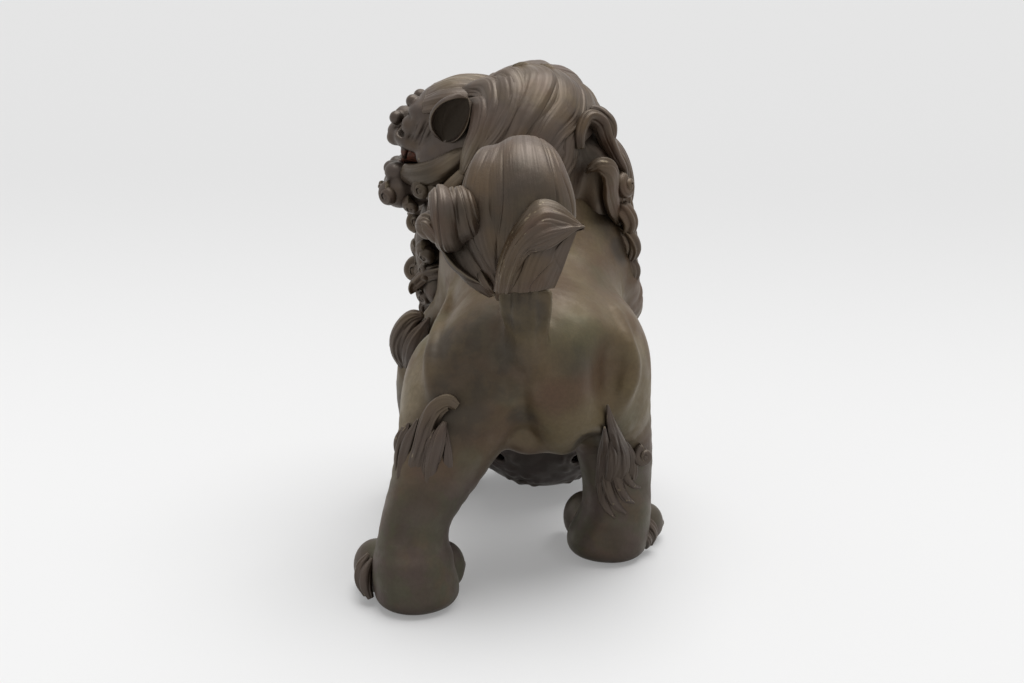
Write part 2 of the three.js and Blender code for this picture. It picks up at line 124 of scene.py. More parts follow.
class Field:
    def __init__(self, low, high, step):
        self.low = np.array(low, float)
        self.step = step
        size = np.ceil((np.array(high, float) - self.low) / step).astype(int) + 1
        self.values = np.full(size, FAR, np.float32)

    def window(self, low, high):
        """The part of the grid inside a box, and its points."""
        first = np.floor((np.array(low) - self.low) / self.step).astype(int)
        first = np.clip(first, 0, np.array(self.values.shape) - 1)
        last = np.ceil((np.array(high) - self.low) / self.step).astype(int) + 1
        last = np.clip(last, first + 1, self.values.shape)
        part = tuple(slice(a, b) for a, b in zip(first, last))
        axes = [self.low[k] + self.step * np.arange(first[k], last[k]) for k in range(3)]
        return part, np.stack(np.meshgrid(*axes, indexing="ij"), -1).astype(np.float32)

    def merge(self, part, distance, blend, carve=False):
        """Add a shape to the field, or cut it away, with a fillet of about blend."""
        old = self.values[part]
        sign = -1 if carve else 1
        near = np.maximum(blend - np.abs(old - sign * distance), 0) / max(blend, 1e-6)
        nearest = np.maximum(old, -distance) if carve else np.minimum(old, distance)
        self.values[part] = nearest - sign * near * near * blend / 4

    def blob(self, centre, radii, blend, turn=None, carve=False):
        """An ellipsoid; turn is a matrix whose columns are its axes."""
        centre, radii = np.array(centre, float), np.array(radii, float)
        reach = radii.max() + blend + 3
        part, points = self.window(centre - reach, centre + reach)
        local = points - centre.astype(np.float32)
        if turn is not None:
            local = local @ np.asarray(turn, np.float32)
        scaled = np.linalg.norm(local / radii, axis=-1)
        slope = np.linalg.norm(local / radii**2, axis=-1)
        self.merge(part, scaled * (scaled - 1) / np.maximum(slope, 1e-5), blend, carve)

    def blobs(self, masses, side=1):
        """Named ellipsoids of (centre, radii, blend), some with CARVED; side -1 mirrors them."""
        for centre, radii, blend, *carved in masses.values():
            self.blob(np.array(centre) * (side, 1, 1), radii, blend, carve=CARVED in carved)

    def tube(self, rows, blend, side=(1, 0, 0), pieces=14, carve=False):
        """A limb along rows of [x, y, z, half width, half depth]; its width lies nearest to side."""
        rows = spline(rows, pieces + 1)
        reach = rows[:, 3:].max() + blend + 3
        part, points = self.window(rows[:, :3].min(0) - reach, rows[:, :3].max(0) + reach)
        distance = np.full(points.shape[:3], FAR, np.float32)
        for a, b in zip(rows[:-1], rows[1:]):
            line = (b - a)[:3]
            along = unit(line)
            across = unit(np.asarray(side, float) - along * (along @ np.asarray(side, float)))
            through = np.cross(along, across)
            offset = points - a[:3].astype(np.float32)
            share = np.clip(offset @ (line / (line @ line)).astype(np.float32), 0, 1)
            offset = offset - share[..., None] * line.astype(np.float32)
            half_width = a[3] + share * (b[3] - a[3])
            half_depth = a[4] + share * (b[4] - a[4])
            cap = np.minimum(half_width, half_depth)
            u, v, w = (offset @ axis.astype(np.float32) for axis in (across, through, along))
            scaled = np.sqrt((u / half_width) ** 2 + (v / half_depth) ** 2 + (w / cap) ** 2)
            slope = np.sqrt((u / half_width**2) ** 2 + (v / half_depth**2) ** 2 + (w / cap**2) ** 2)
            distance = np.minimum(distance, scaled * (scaled - 1) / np.maximum(slope, 1e-5))
        self.merge(part, distance, blend, carve)

    def cut_below(self, level, blend):
        """A flat sole."""
        high = self.low + self.step * np.array(self.values.shape)
        part, points = self.window(self.low, (high[0], high[1], level + blend + 2))
        self.merge(part, points[..., 2] - level, blend, carve=True)

    def back_at(self, x, z):
        """The y of the surface that faces backwards at x, z."""
        across, up = (round((v - low) / self.step) for v, low in ((x, self.low[0]), (z, self.low[2])))
        inside = np.nonzero(self.values[across, :, up] < 0)[0]
        return self.low[1] + self.step * inside[-1]

    def mesh(self):
        grid = openvdb.FloatGrid(FAR)
        grid.copyFromArray(self.values)
        points, quads = grid.convertToQuads(0.0)
        return points * self.step + self.low, quads


def on_skin(field, rows):
    """Rows with a lift off a field's back in place of y, as rows in the lion's frame."""
    return [(x, field.back_at(x, z) + lift, z, width, depth) for x, lift, z, width, depth in rows]


# Hair: each lock is swept along a smooth spine, with ridges that run along it like chased strands.


def tapered(points, width, depth, root=0.6, belly=0.4, tip=0.1):
    """Rows for a lock: narrower at its root, widest at belly, pointed at its tip."""
    points = np.asarray(points, float)
    t = lengths(points) / lengths(points)[-1]
    rise = root + (1 - root) * smooth_step(0, belly, t)
    fall = 1 - (1 - tip) * np.clip((t - belly) / (1 - belly), 0, 1) ** 1.6
    return np.column_stack([points, width * rise * fall, depth * rise * fall])


def hooked(rows, axis, radius, turns, tip, tighten):
    """rows with a spiral at the end, which turns about axis and tightens."""
    rows = [list(map(float, row)) for row in rows]
    last = np.array(rows[-1])
    axis = unit(axis)
    heading = last[:3] - np.array(rows[-2])[:3]
    heading = unit(heading - axis * (heading @ axis))
    place = last[:3]
    count = max(3, round(10 * turns))
    for k in range(count):
        share = (k + 1) / count
        angle = 360 * turns / count
        place = place + heading * radius * (1 + (tighten - 1) * share) * math.radians(angle)
        heading = turned(heading, axis, angle)
        rows.append([*place, *(last[3:5] * (1 - share) + tip * share)])
    return np.array(rows)


def coil(centre, axis, radius):
    """Rows for a ball curl: a spiral that winds in about axis and stands proud in the middle."""
    axis = unit(axis)
    up = np.array((0.0, 0.0, 1.0))
    arm = unit(up - axis * (up @ axis))
    rows = []
    count = round(12 * CURL_TURNS)
    for k in range(count + 1):
        share = k / count
        out = radius * 0.58 * (1 - share)
        sideways = turned(arm, axis, 360 * CURL_TURNS * share) * out
        place = np.asarray(centre) + sideways + axis * radius * 0.4 * share
        size = radius * (0.5 - 0.1 * share)
        rows.append([*place, size, size])
    for rise, size in ((0.2, 0.32), (0.34, 0.05)):
        rows.append([*(np.asarray(centre) + axis * radius * (0.4 + rise)), radius * size, radius * size])
    return np.array(rows)


def carried_frames(points, side, facing):
    """Directions across and through a curve, carried along it; facing is an ellipsoid for it to lie on."""
    along = np.gradient(points, axis=0)
    along /= np.linalg.norm(along, axis=1)[:, None]
    if facing is not None:
        centre, radii = (np.asarray(v, float) for v in facing)
        through = (points - centre) / radii**2
        through -= along * np.sum(along * through, axis=1)[:, None]
        through /= np.linalg.norm(through, axis=1)[:, None]
        return np.cross(through, along), through
    across = np.zeros_like(along)
    across[0] = unit(np.asarray(side, float) - along[0] * (along[0] @ np.asarray(side, float)))
    for k in range(1, len(points)):
        across[k] = unit(across[k - 1] - along[k] * (across[k - 1] @ along[k]))
    return across, np.cross(along, across)


def swellings(u, t, waves, luck):
    """Soft swellings in mm across a lock; waves is (count, depth), u runs from 0 to 1 around or across it."""
    count, depth = waves
    a, b, c, d = luck.uniform(0, 2 * math.pi, 4)
    turn = 2 * math.pi * u
    coarse = np.sin(count * turn + 1.2 * np.sin(2 * turn + a) + 0.7 * np.sin(4 * t + b))
    fine = np.sin((2 * count + 1) * turn + 0.9 * np.sin(3 * turn + c) + 0.5 * np.sin(7 * t + d))
    return depth * (0.5 * coarse + 0.25 * fine)


def strand_lines(u, t, width, lines, luck, closed):
    """Cuts along a lock that start and stop; lines is (spacing, depth), width is the mm that u spans."""
    spacing, depth = lines
    total = max(6, round(float(width.max(axis=0).mean()) / spacing))
    height = 0
    for k in range(total):
        offset = u - (k + luck.uniform(0.1, 0.9)) / total
        if closed:
            offset = (offset + 0.5) % 1 - 0.5
        wander = luck.uniform(0.4, 1.2) * spacing * np.sin(luck.uniform(2, 7) * t + luck.uniform(0, 6))
        start, stop = luck.uniform(-0.3, 0.4), luck.uniform(0.6, 1.3)
        here = smooth_step(start - 0.1, start + 0.1, t) * (1 - smooth_step(stop - 0.15, stop + 0.1, t))
        cut = np.exp(-(((offset * width + wander) / CUT_WIDTH) ** 2))
        height = height - depth * luck.uniform(0.15, 1) ** 1.5 * here * cut
    return height


def skinned(grid, centre_first, centre_last, strand):
    """Faces for rings of points, closed at both ends."""
    steps, around = grid.shape[:2]
    count = steps * around
    ring = np.arange(count).reshape(steps, around)
    right = np.roll(ring, -1, axis=1)
    faces = np.stack([ring[:-1], right[:-1], right[1:], ring[1:]], -1).reshape(-1, 4).tolist()
    faces += [[int(right[0, k]), int(ring[0, k]), count] for k in range(around)]
    faces += [[int(ring[-1, k]), int(right[-1, k]), count + 1] for k in range(around)]
    points = np.concatenate([grid.reshape(-1, 3), centre_first[None], centre_last[None]])
    return points, faces, np.concatenate([strand.reshape(-1, 2), np.zeros((2, 2))])


def sweep(rows, side=(1, 0, 0), facing=None, around=56, steps=60, waves=(3, 0.9), lines=(1.6, 0.5), seed=1):
    """A lock through rows of [x, y, z, half width, half depth]: points, faces and strand coordinates."""
    luck = np.random.default_rng(seed)
    rows = spline(rows, steps)
    centre, half_width, half_depth = rows[:, :3], np.maximum(rows[:, 3:4], 0.2), np.maximum(rows[:, 4:5], 0.2)
    across, through = carried_frames(centre, side, facing)
    t = np.linspace(0, 1, steps)[:, None]
    u = np.linspace(0, 1, around, endpoint=False)[None, :]
    cosine, sine = np.cos(2 * math.pi * u), np.sin(2 * math.pi * u)
    width = 2 * math.pi * np.sqrt((half_width * sine) ** 2 + (half_depth * cosine) ** 2)
    height = swellings(u, t, waves, luck) + strand_lines(u, t, width, lines, luck, closed=True)
    height = height * np.minimum(1, np.minimum(half_width, half_depth) / FULL_RELIEF)
    round_x = np.sign(cosine) * np.abs(cosine) ** SQUARENESS
    round_y = np.sign(sine) * np.abs(sine) ** SQUARENESS
    out_x, out_y = round_x * half_depth, round_y * half_width
    out = np.sqrt(out_x**2 + out_y**2) + 1e-9
    x = half_width * round_x + height * out_x / out
    y = half_depth * round_y + height * out_y / out
    grid = centre[:, None] + x[..., None] * across[:, None] + y[..., None] * through[:, None]
    widest = float(half_width.max() + half_depth.max()) * 3.2
    strand = np.stack(np.broadcast_arrays(widest * u + STRAND_SHIFT * seed, lengths(centre)[:, None]), -1)
    return skinned(grid, centre[0], centre[-1], strand)


def sheet(strands, thickness, across, steps, waves, lines, seed):
    """A leaf of hair from strands that run along it, given from left to right as seen from its front."""
    luck = np.random.default_rng(seed)
    strands = np.array([spline(strand, steps) for strand in strands])
    front = np.stack([spline(strands[:, k], across) for k in range(steps)])
    normal = np.cross(np.gradient(front, axis=1), np.gradient(front, axis=0))
    normal /= np.linalg.norm(normal, axis=-1)[..., None] + 1e-9
    t = np.linspace(0, 1, steps)[:, None]
    u = np.linspace(0, 1, across)[None, :]
    width = np.linalg.norm(np.diff(front, axis=1), axis=-1).sum(axis=1)[:, None] * np.ones_like(u)
    rim = np.maximum(1 - (2 * u - 1) ** 4, 0.02) ** 0.5
    height = (swellings(u, t, waves, luck) + strand_lines(u, t, width, lines, luck, closed=False)) * rim
    height = height * np.minimum(1, width / FULL_SHEET_RELIEF)
    back = front - normal * (thickness * rim * np.minimum(1, width / FULL_SHEET_BODY))[..., None]
    front = front + normal * height[..., None]
    grid = np.concatenate([front, back[:, ::-1]], axis=1)
    along = np.broadcast_to(lengths(front[:, across // 2])[:, None], (steps, across))
    strand = np.stack([np.broadcast_to(width.max() * u + STRAND_SHIFT * seed, (steps, across)), along], -1)
    strand = np.concatenate([strand, strand[:, ::-1]], axis=1)
    return skinned(grid, grid[0].mean(0), grid[-1].mean(0), strand)


def joined(parts):
    """Several locks as one list of points, faces and strand coordinates."""
    faces, count = [], 0
    for points, some_faces, _ in parts:
        faces += [[i + count for i in face] for face in some_faces]
        count += len(points)
    return np.concatenate([p[0] for p in parts]), faces, np.concatenate([p[2] for p in parts])


# Pieces.


def piece(name, points, faces, material, stands_for=(), body="lion", fields=None):
    """A mesh in the CAD's frame that rides on a body; fields are values per point that its material reads."""
    mesh = bpy.data.meshes.new(name)
    placed = (np.asarray(points, float) + ORIGIN_MOVE) * MM
    mesh.from_pydata(placed, [], faces)
    for field, values in (fields or {}).items():
        values = np.asarray(values, np.float32)
        kind = "FLOAT" if values.ndim == 1 else "FLOAT_VECTOR"
        layer = mesh.attributes.new(field, kind, "POINT")
        if kind == "FLOAT_VECTOR":
            values = np.column_stack([values, np.zeros(len(values), np.float32)])
        layer.data.foreach_set("value" if kind == "FLOAT" else "vector", values.ravel())
    mesh.validate()
    mesh.shade_smooth()
    mesh.materials.append(material)
    made = bpy.data.objects.new(name, mesh)
    bpy.context.scene.collection.objects.link(made)
    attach(made, body)
    if stands_for:
        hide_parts(*stands_for)


def hair_piece(name, locks, stands_for=()):
    points, faces, strand = joined(locks)
    piece(name, points, faces, HAIR_PATINA, stands_for, fields={"strand": strand})


def ball_curl(centre, axis, radius, line_depth, seed):
    """A curl wound into a knob, as a lock."""
    rows = coil(centre, axis, radius)
    return sweep(rows, side=axis, around=28, steps=64, waves=(2, 0.3), lines=(1.6, line_depth), seed=seed)


# Materials: bronze under a dark patina, rubbed on the ridges, darkened in the hollows by soot and painted
# shade, with patches of painted shade and painted light.


def srgb(red, green, blue):
    """A colour as seen on screen, 0 to 255, as the linear colour that shaders take."""
    def linear(c):
        return c / 12.92 if c <= 0.04045 else ((c + 0.055) / 1.055) ** 2.4
    return (*(linear(c / 255) for c in (red, green, blue)), 1)


OLIVE = srgb(102, 88, 60)
BROWN = srgb(86, 67, 47)
RED_BROWN = srgb(88, 61, 47)
MAUVE = srgb(90, 76, 68)
DARK_MAUVE = srgb(64, 53, 50)
# Soot in the grain and the chased lines, and also the tint of painted shade.
SOOT_AND_SHADE = srgb(38, 29, 20)
# Rubbed bronze on the ridges, and also the tint of painted light.
RUBBED_AND_LIT = srgb(140, 126, 102)
VERDIGRIS = srgb(70, 76, 52)
DULL_GREEN = srgb(60, 61, 47)
PLUM = srgb(68, 53, 56)
BALL_BLACK = srgb(37, 23, 26)
BALL_DEEP = srgb(27, 18, 19)
COPPER = srgb(160, 98, 78)
MOUTH_RED = srgb(88, 52, 42)
DOWEL_BRIGHT = srgb(150, 118, 70)
DOWEL_DULL = srgb(110, 84, 50)
# How close surfaces are, in mm, where soot and painted shade gather between them.
SHADE_AND_GRIME_REACH = 12.0
SPECULAR = 0.75
SPECULAR_TINT = (1.0, 0.91, 0.78, 1)


class Nodes:
    """A node tree, built one node at a time."""

    def __init__(self, tree):
        self.tree = tree

    def add(self, kind, inputs, **settings):
        node = self.tree.nodes.new(kind)
        for key, value in settings.items():
            setattr(node, key, value)
        for key, value in inputs.items():
            self.feed(node.inputs[key], value)
        return node

    def feed(self, socket, value):
        if isinstance(value, bpy.types.NodeSocket):
            self.tree.links.new(value, socket)
        else:
            socket.default_value = value

    def ramp(self, value, low, high, to_low=0.0, to_high=1.0):
        inputs = {"Value": value, "From Min": low, "From Max": high, "To Min": to_low, "To Max": to_high}
        return self.add("ShaderNodeMapRange", inputs, interpolation_type="SMOOTHSTEP").outputs["Result"]

    def times(self, a, b):
        return self.add("ShaderNodeMath", {0: a, 1: b}, operation="MULTIPLY").outputs[0]

    def larger(self, a, b):
        return self.add("ShaderNodeMath", {0: a, 1: b}, operation="MAXIMUM").outputs[0]

    def mix(self, share, a, b):
        node = self.add("ShaderNodeMix", {}, data_type="RGBA")
        self.feed(node.inputs[0], share)
        self.feed(node.inputs[6], a)
        self.feed(node.inputs[7], b)
        return node.outputs[2]


class Shading(Nodes):
    """A material of the lion's."""

    def __init__(self, name):
        self.material = bpy.data.materials.new(name)
        self.material.use_nodes = True
        super().__init__(self.material.node_tree)
        self.shader = self.tree.nodes["Principled BSDF"]
        self.place = self.tree.nodes.new("ShaderNodeTexCoord").outputs["Object"]

    def noise(self, size_mm, detail, shift=0.0, contrast=(0.35, 0.65)):
        """Soft patches of about size_mm, from 0 to 1."""
        moved = self.add("ShaderNodeVectorMath", {0: self.place, 1: (shift, 2 * shift, -shift)},
                         operation="ADD")
        texture = self.add("ShaderNodeTexNoise", {"Vector": moved.outputs[0], "Scale": 1 / (size_mm * MM),
                                                  "Detail": detail, "Roughness": 0.55})
        return self.ramp(texture.outputs["Fac"], *contrast)

    def layered(self, colour, *layers):
        """colour under layers of (where, strength, tint)."""
        for where, strength, tint in layers:
            colour = self.mix(self.times(where, strength), colour, tint)
        return colour

    def pointiness(self, low, high):
        geometry = self.add("ShaderNodeNewGeometry", {})
        return self.ramp(geometry.outputs["Pointiness"], low, high)

    def shade_and_grime(self, reach):
        """0 in the open, 1 deep between surfaces that are less than about reach mm apart: where soot and
        painted shade go.
        """
        open_sky = self.add("ShaderNodeAmbientOcclusion", {"Distance": reach * MM}, samples=6).outputs["AO"]
        return self.ramp(open_sky, 0.9, 0.25)

    def patch(self, centre, reach):
        """1 near a place on the lion, fading to 0 at reach; both in mm."""
        spot = tuple((np.array(centre, float) + ORIGIN_MOVE) * MM)
        away = self.add("ShaderNodeVectorMath", {0: self.place, 1: spot}, operation="DISTANCE")
        return self.ramp(away.outputs["Value"], reach * MM, 0.4 * reach * MM)

    def patches(self, spots):
        """The strongest of several patches, broken up by noise."""
        total = self.patch(*spots[0])
        for spot in spots[1:]:
            total = self.larger(total, self.patch(*spot))
        return self.times(total, self.ramp(self.noise(9, 4, 13.0), 0, 1, 0.65, 1))

    def below(self, top_mm, bottom_mm):
        """0 above one height, 1 below the other."""
        split = self.add("ShaderNodeSeparateXYZ", {"Vector": self.place})
        return self.ramp(split.outputs["Z"], top_mm * MM, bottom_mm * MM)

    def attribute(self, name):
        return self.add("ShaderNodeAttribute", {}, attribute_name=name)

    def bump(self, height, depth_mm, strength=1.0, onto=None):
        inputs = {"Height": height, "Distance": depth_mm * MM, "Strength": strength}
        if onto is not None:
            inputs["Normal"] = onto
        return self.add("ShaderNodeBump", inputs).outputs["Normal"]

    def finish(self, colour, roughness, normal, metallic):
        inputs = {"Base Color": colour, "Roughness": roughness, "Normal": normal, "Metallic": metallic,
                  "Specular IOR Level": SPECULAR, "Specular Tint": SPECULAR_TINT}
        for name, value in inputs.items():
            self.feed(self.shader.inputs[name], value)
        return self.material


def cast_surface(shading):
    """The skin of a casting: slight unevenness and a fine grain."""
    uneven = shading.bump(shading.noise(7, 2, contrast=(0, 1)), 0.25, 0.6)
    return shading.bump(shading.noise(0.8, 4, 3.1, contrast=(0, 1)), 0.06, 0.6, uneven)


def wear_and_shade(shading, colour, edge=0.55, hollow=0.7):
    """Rubbed ridges, and soot with painted shade in the hollows, found by ambient occlusion and by how
    concave the surface is.
    """
    return shading.layered(colour, (shading.pointiness(0.52, 0.60), edge, RUBBED_AND_LIT),
                           (shading.shade_and_grime(SHADE_AND_GRIME_REACH), hollow, SOOT_AND_SHADE),
                           (shading.pointiness(0.48, 0.40), hollow, SOOT_AND_SHADE))


# Patches painted dark on the body: painted shade beside and under the tail, inside the haunches and under the
# mane's right side, with dark patina there too.
SHADE_AND_PATINA_PATCHES = [((11, 55, 105), 31), ((20, 55, 84), 24), ((-26, 50, 104), 13), ((-36, 40, 64), 16),
              ((-8, 54, 80), 9), ((39, 80, 34), 9), ((-42, -26, 144), 13), ((-45, -28, 130), 10),
              ((22, 47, 106), 18), ((16, 58, 92), 15), ((-9, 66, 129), 16)]
# Painted light: the left thigh and the right flank lightened.
PAINTED_LIGHT_PATCHES = [((38, 44, 86), 17), ((-52, 24, 100), 10)]
# Painted shade on the lower legs: inside the right leg under its haunch, on the back of the left shank, and
# by the right foot.
SHANK_PAINTED_SHADE = [((33, 74, 52), 9), ((40, 80, 34), 9), ((-38, 22, 46), 10), ((-37, 26, 60), 13),
               ((-46, 24, 14), 9)]
RED_SPOTS = [((8, 54, 76), 18), ((-38, 46, 98), 17), ((-2, 58, 96), 11), ((30, 66, 62), 12),
             ((-20, 56, 92), 12)]
GREEN_SPOTS = [((-3, 59, 92), 9), ((1, 57, 108), 9), ((-28, 50, 112), 18), ((14, 62, 62), 10),
               ((-38, 36, 60), 11), ((32, 20, 104), 18), ((-46, 30, 72), 14)]


def body_patina():
    shading = Shading("body_patina")
    colour = shading.layered(
        shading.mix(shading.noise(38, 2), OLIVE, BROWN),
        (shading.noise(30, 2, 5.0, contrast=(0.5, 0.7)), 0.4, RED_BROWN),
        (shading.noise(24, 3, 9.0, contrast=(0.52, 0.72)), 0.3, VERDIGRIS),
        (shading.patches(RED_SPOTS), 0.6, RED_BROWN),
        (shading.patches(GREEN_SPOTS), 0.42, VERDIGRIS),
        # painted shade with dark patina
        (shading.patches(SHADE_AND_PATINA_PATCHES), 0.88, SOOT_AND_SHADE),
        # painted light on the left thigh and the right flank
        (shading.patches(PAINTED_LIGHT_PATCHES), 0.68, RUBBED_AND_LIT),
    )
    legs = shading.layered(
        shading.mix(shading.noise(19, 3, 11.0), DARK_MAUVE, DULL_GREEN),
        (shading.noise(15, 3, 15.0, contrast=(0.5, 0.7)), 0.4, RED_BROWN),
        (shading.noise(13, 3, 21.0, contrast=(0.48, 0.6)), 0.6, PLUM),
        # painted shade on the lower legs
        (shading.patches(SHANK_PAINTED_SHADE), 0.7, SOOT_AND_SHADE),
    )
    colour = shading.layered(colour, (shading.below(70, 45), 0.85, legs),
                             (shading.noise(1.6, 4, 2.0), 0.16, SOOT_AND_SHADE))
    rough = shading.ramp(shading.noise(11, 4, 7.0), 0, 1, 0.45, 0.6)
    return shading.finish(wear_and_shade(shading, colour), rough, cast_surface(shading), 0.2)


# Painted shade on the hair: on the plume and the leaf, under the tail's side curl, in the recess under the
# mane's right ribbons, and on the mane's left side.
HAIR_PAINTED_SHADE = [((-16, 66, 170), 18), ((14, 62, 150), 20), ((6, 60, 150), 12), ((-32, -24, 172), 12),
                   ((36, -58, 120), 18), ((14, 74, 168), 13), ((-2, 72, 172), 15), ((-9, 66, 181), 17),
                   ((43, -44, 156), 17)]
# Painted light on the mane: the top of the near side, and the hair behind the near ear.
HAIR_PAINTED_LIGHT = [((28, -60, 195), 15), ((24, -32, 168), 15)]
HAIR_RED_SPOTS = [((4, 62, 146), 14), ((-12, 66, 150), 12), ((12, -28, 182), 14), ((-44, -36, 150), 12)]


def hair_patina():
    shading = Shading("hair_patina")
    strand = shading.attribute("strand").outputs["Vector"]
    stretched = shading.add("ShaderNodeVectorMath", {0: strand, 1: (1.0, 0.05, 1.0)}, operation="MULTIPLY")
    inputs = {"Vector": stretched.outputs[0], "Scale": 0.9, "Detail": 3.0}
    lines = shading.ramp(shading.add("ShaderNodeTexNoise", inputs).outputs["Fac"], 0.3, 0.7)
    colour = shading.layered(
        shading.mix(shading.noise(26, 2), MAUVE, BROWN),
        (shading.noise(20, 3, 4.0, contrast=(0.45, 0.65)), 0.6, DARK_MAUVE),
        (shading.noise(17, 3, 6.0, contrast=(0.5, 0.68)), 0.5, RED_BROWN),
        (shading.noise(24, 3, 9.0, contrast=(0.5, 0.7)), 0.35, OLIVE),
        (shading.patches(HAIR_RED_SPOTS), 0.5, RED_BROWN),
        # painted shade on the hair
        (shading.patches(HAIR_PAINTED_SHADE), 0.75, SOOT_AND_SHADE),
        # painted light on the mane
        (shading.patches(HAIR_PAINTED_LIGHT), 0.5, RUBBED_AND_LIT),
        (lines, 0.3, SOOT_AND_SHADE),
        (shading.below(95, 70), 0.6, DARK_MAUVE),
    )
    colour = wear_and_shade(shading, colour, 0.6, 0.75)
    rough = shading.ramp(lines, 0, 1, 0.36, 0.52)
    normal = shading.bump(lines, 0.1, 0.5, cast_surface(shading))
    return shading.finish(colour, rough, normal, 0.2)


def head_patina():
    shading = Shading("head_patina")
    colour = shading.mix(shading.noise(16, 2), MAUVE, BROWN)
    colour = shading.mix(shading.ramp(shading.noise(12, 3, 4.0), 0, 1, 0.45, 0.9), colour, DARK_MAUVE)
    colour = wear_and_shade(shading, colour, 0.6, 0.8)
    hollow = shading.attribute("hollow").outputs["Fac"]
    colour = shading.layered(colour, (hollow, 0.95, SOOT_AND_SHADE))
    mouth = shading.attribute("mouth").outputs["Fac"]
    colour = shading.mix(mouth, colour, MOUTH_RED)
    rough = shading.ramp(shading.noise(6, 4, 7.0), 0, 1, 0.36, 0.52)
    rough = shading.larger(rough, shading.times(hollow, 0.8))
    return shading.finish(colour, rough, cast_surface(shading), 0.2)


def ball_patina():
    shading = Shading("ball_patina")
    colour = shading.mix(shading.noise(14, 3), BALL_BLACK, BALL_DEEP)
    colour = wear_and_shade(shading, colour, 0.35, 0.8)
    rough = shading.ramp(shading.noise(8, 4, 7.0), 0, 1, 0.4, 0.6)
    return shading.finish(colour, rough, cast_surface(shading), 0.2)


def mouth_copper():
    shading = Shading("mouth_copper")
    colour = shading.mix(shading.noise(5, 3), COPPER, RED_BROWN)
    rough = shading.ramp(shading.noise(2, 4, 7.0), 0, 1, 0.5, 0.7)
    return shading.finish(colour, rough, cast_surface(shading), 0.1)


def bare_dowel():
    shading = Shading("bare_dowel")
    colour = shading.mix(shading.noise(4, 3), DOWEL_BRIGHT, DOWEL_DULL)
    rough = shading.ramp(shading.noise(1.5, 4, 7.0), 0, 1, 0.3, 0.5)
    return shading.finish(colour, rough, cast_surface(shading), 0.9)


BODY_PATINA = body_patina()
HAIR_PATINA = hair_patina()
HEAD_PATINA = head_patina()
BALL_PATINA = ball_patina()
MOUTH_COPPER = mouth_copper()
BARE_DOWEL = bare_dowel()

# The body: trunk, legs and the root of the tail as one skin.

BODY_GRID = ((-74, -122, -4), (72, 92, 178), 0.9)
BACK = [(-11, 30, 97, 38, 31), (-11, 10, 100, 38, 33), (-10, -12, 107, 37.5, 35), (-8, -32, 115, 39, 36),
        (-5, -46, 122, 39, 34)]
NECK = [(-6, -42, 128, 37, 30), (-2, -50, 147, 32, 29), (5, -55, 163, 25, 24)]
TAIL_STEM = [(-9, 46, 97, 5, 6), (-9, 53, 108, 7.5, 7), (-9.2, 57.5, 118, 8.2, 6.2),
             (-9.8, 60.5, 128, 9.4, 4.6), (-10.2, 61.5, 136, 10, 3.4)]
STEM_EDGES = [
    [(0, 63, 138, 1, 1), (-0.6, 63, 130, 1.2, 1.2), (-1.4, 61, 121, 1.2, 1.2), (-1.4, 57.5, 112, 1, 1),
     (0, 53, 104, 0.6, 0.6)],
    [(-19.6, 62, 136, 0.6, 0.6), (-19.6, 63, 130, 1, 1), (-18.4, 61, 121, 1, 1), (-17.4, 57, 112, 1, 1),
     (-17.5, 52, 104, 0.6, 0.6)],
    [(-6, 65.2, 138, 1, 1), (-6, 65.2, 130, 1.1, 1.1), (-6, 63.8, 120, 1.1, 1.1),
     (-5.5, 59.5, 108, 0.6, 0.6)],
    [(-13.5, 65.2, 138, 1, 1), (-13.2, 65.2, 130, 1.1, 1.1), (-12.8, 63.8, 120, 1.1, 1.1),
     (-13, 59.5, 108, 0.6, 0.6)],
]
HIND_LEFT = [(17, 27, 84, 22, 27), (21, 36, 73, 23, 25), (26, 47, 61, 20, 21), (31, 56, 49, 16.2, 17),
             (35.5, 61.5, 38, 14.4, 15.5), (37, 65, 27, 15, 16.5), (36.6, 67, 16, 17.4, 18),
             (36.2, 67.5, 8, 17, 17.6)]
HIND_RIGHT = [(-37, 9, 88, 21, 32), (-41, 5, 70, 19.5, 27), (-44, 4, 55, 17.5, 20), (-46, 5, 43, 16, 17),
              (-46.5, 6, 32, 15, 15.5), (-46.5, 7, 22, 15.4, 16), (-45.2, 8, 14, 16.2, 17.2),
              (-44.6, 8.5, 8, 15.8, 17)]
FORE_LEFT = [(25, -50, 108, 11, 20), (29, -50, 94, 11, 18), (37, -49, 80, 12.5, 16),
             (43.5, -50, 66, 12.5, 14.5), (46, -54, 52, 11.5, 12), (45, -57, 38, 11.5, 11.5),
             (44, -58, 25, 13, 13), (44, -58, 12, 15, 15.5), (44, -58, 8, 14.5, 15)]
FORE_RIGHT = [(-36.5, -48, 112, 13.5, 21), (-40.5, -53, 99, 12, 16), (-42, -66, 92, 11.5, 12.5),
              (-36, -79, 93, 11, 11), (-25, -86, 98, 11.5, 10.5), (-14, -85, 96, 13, 10)]
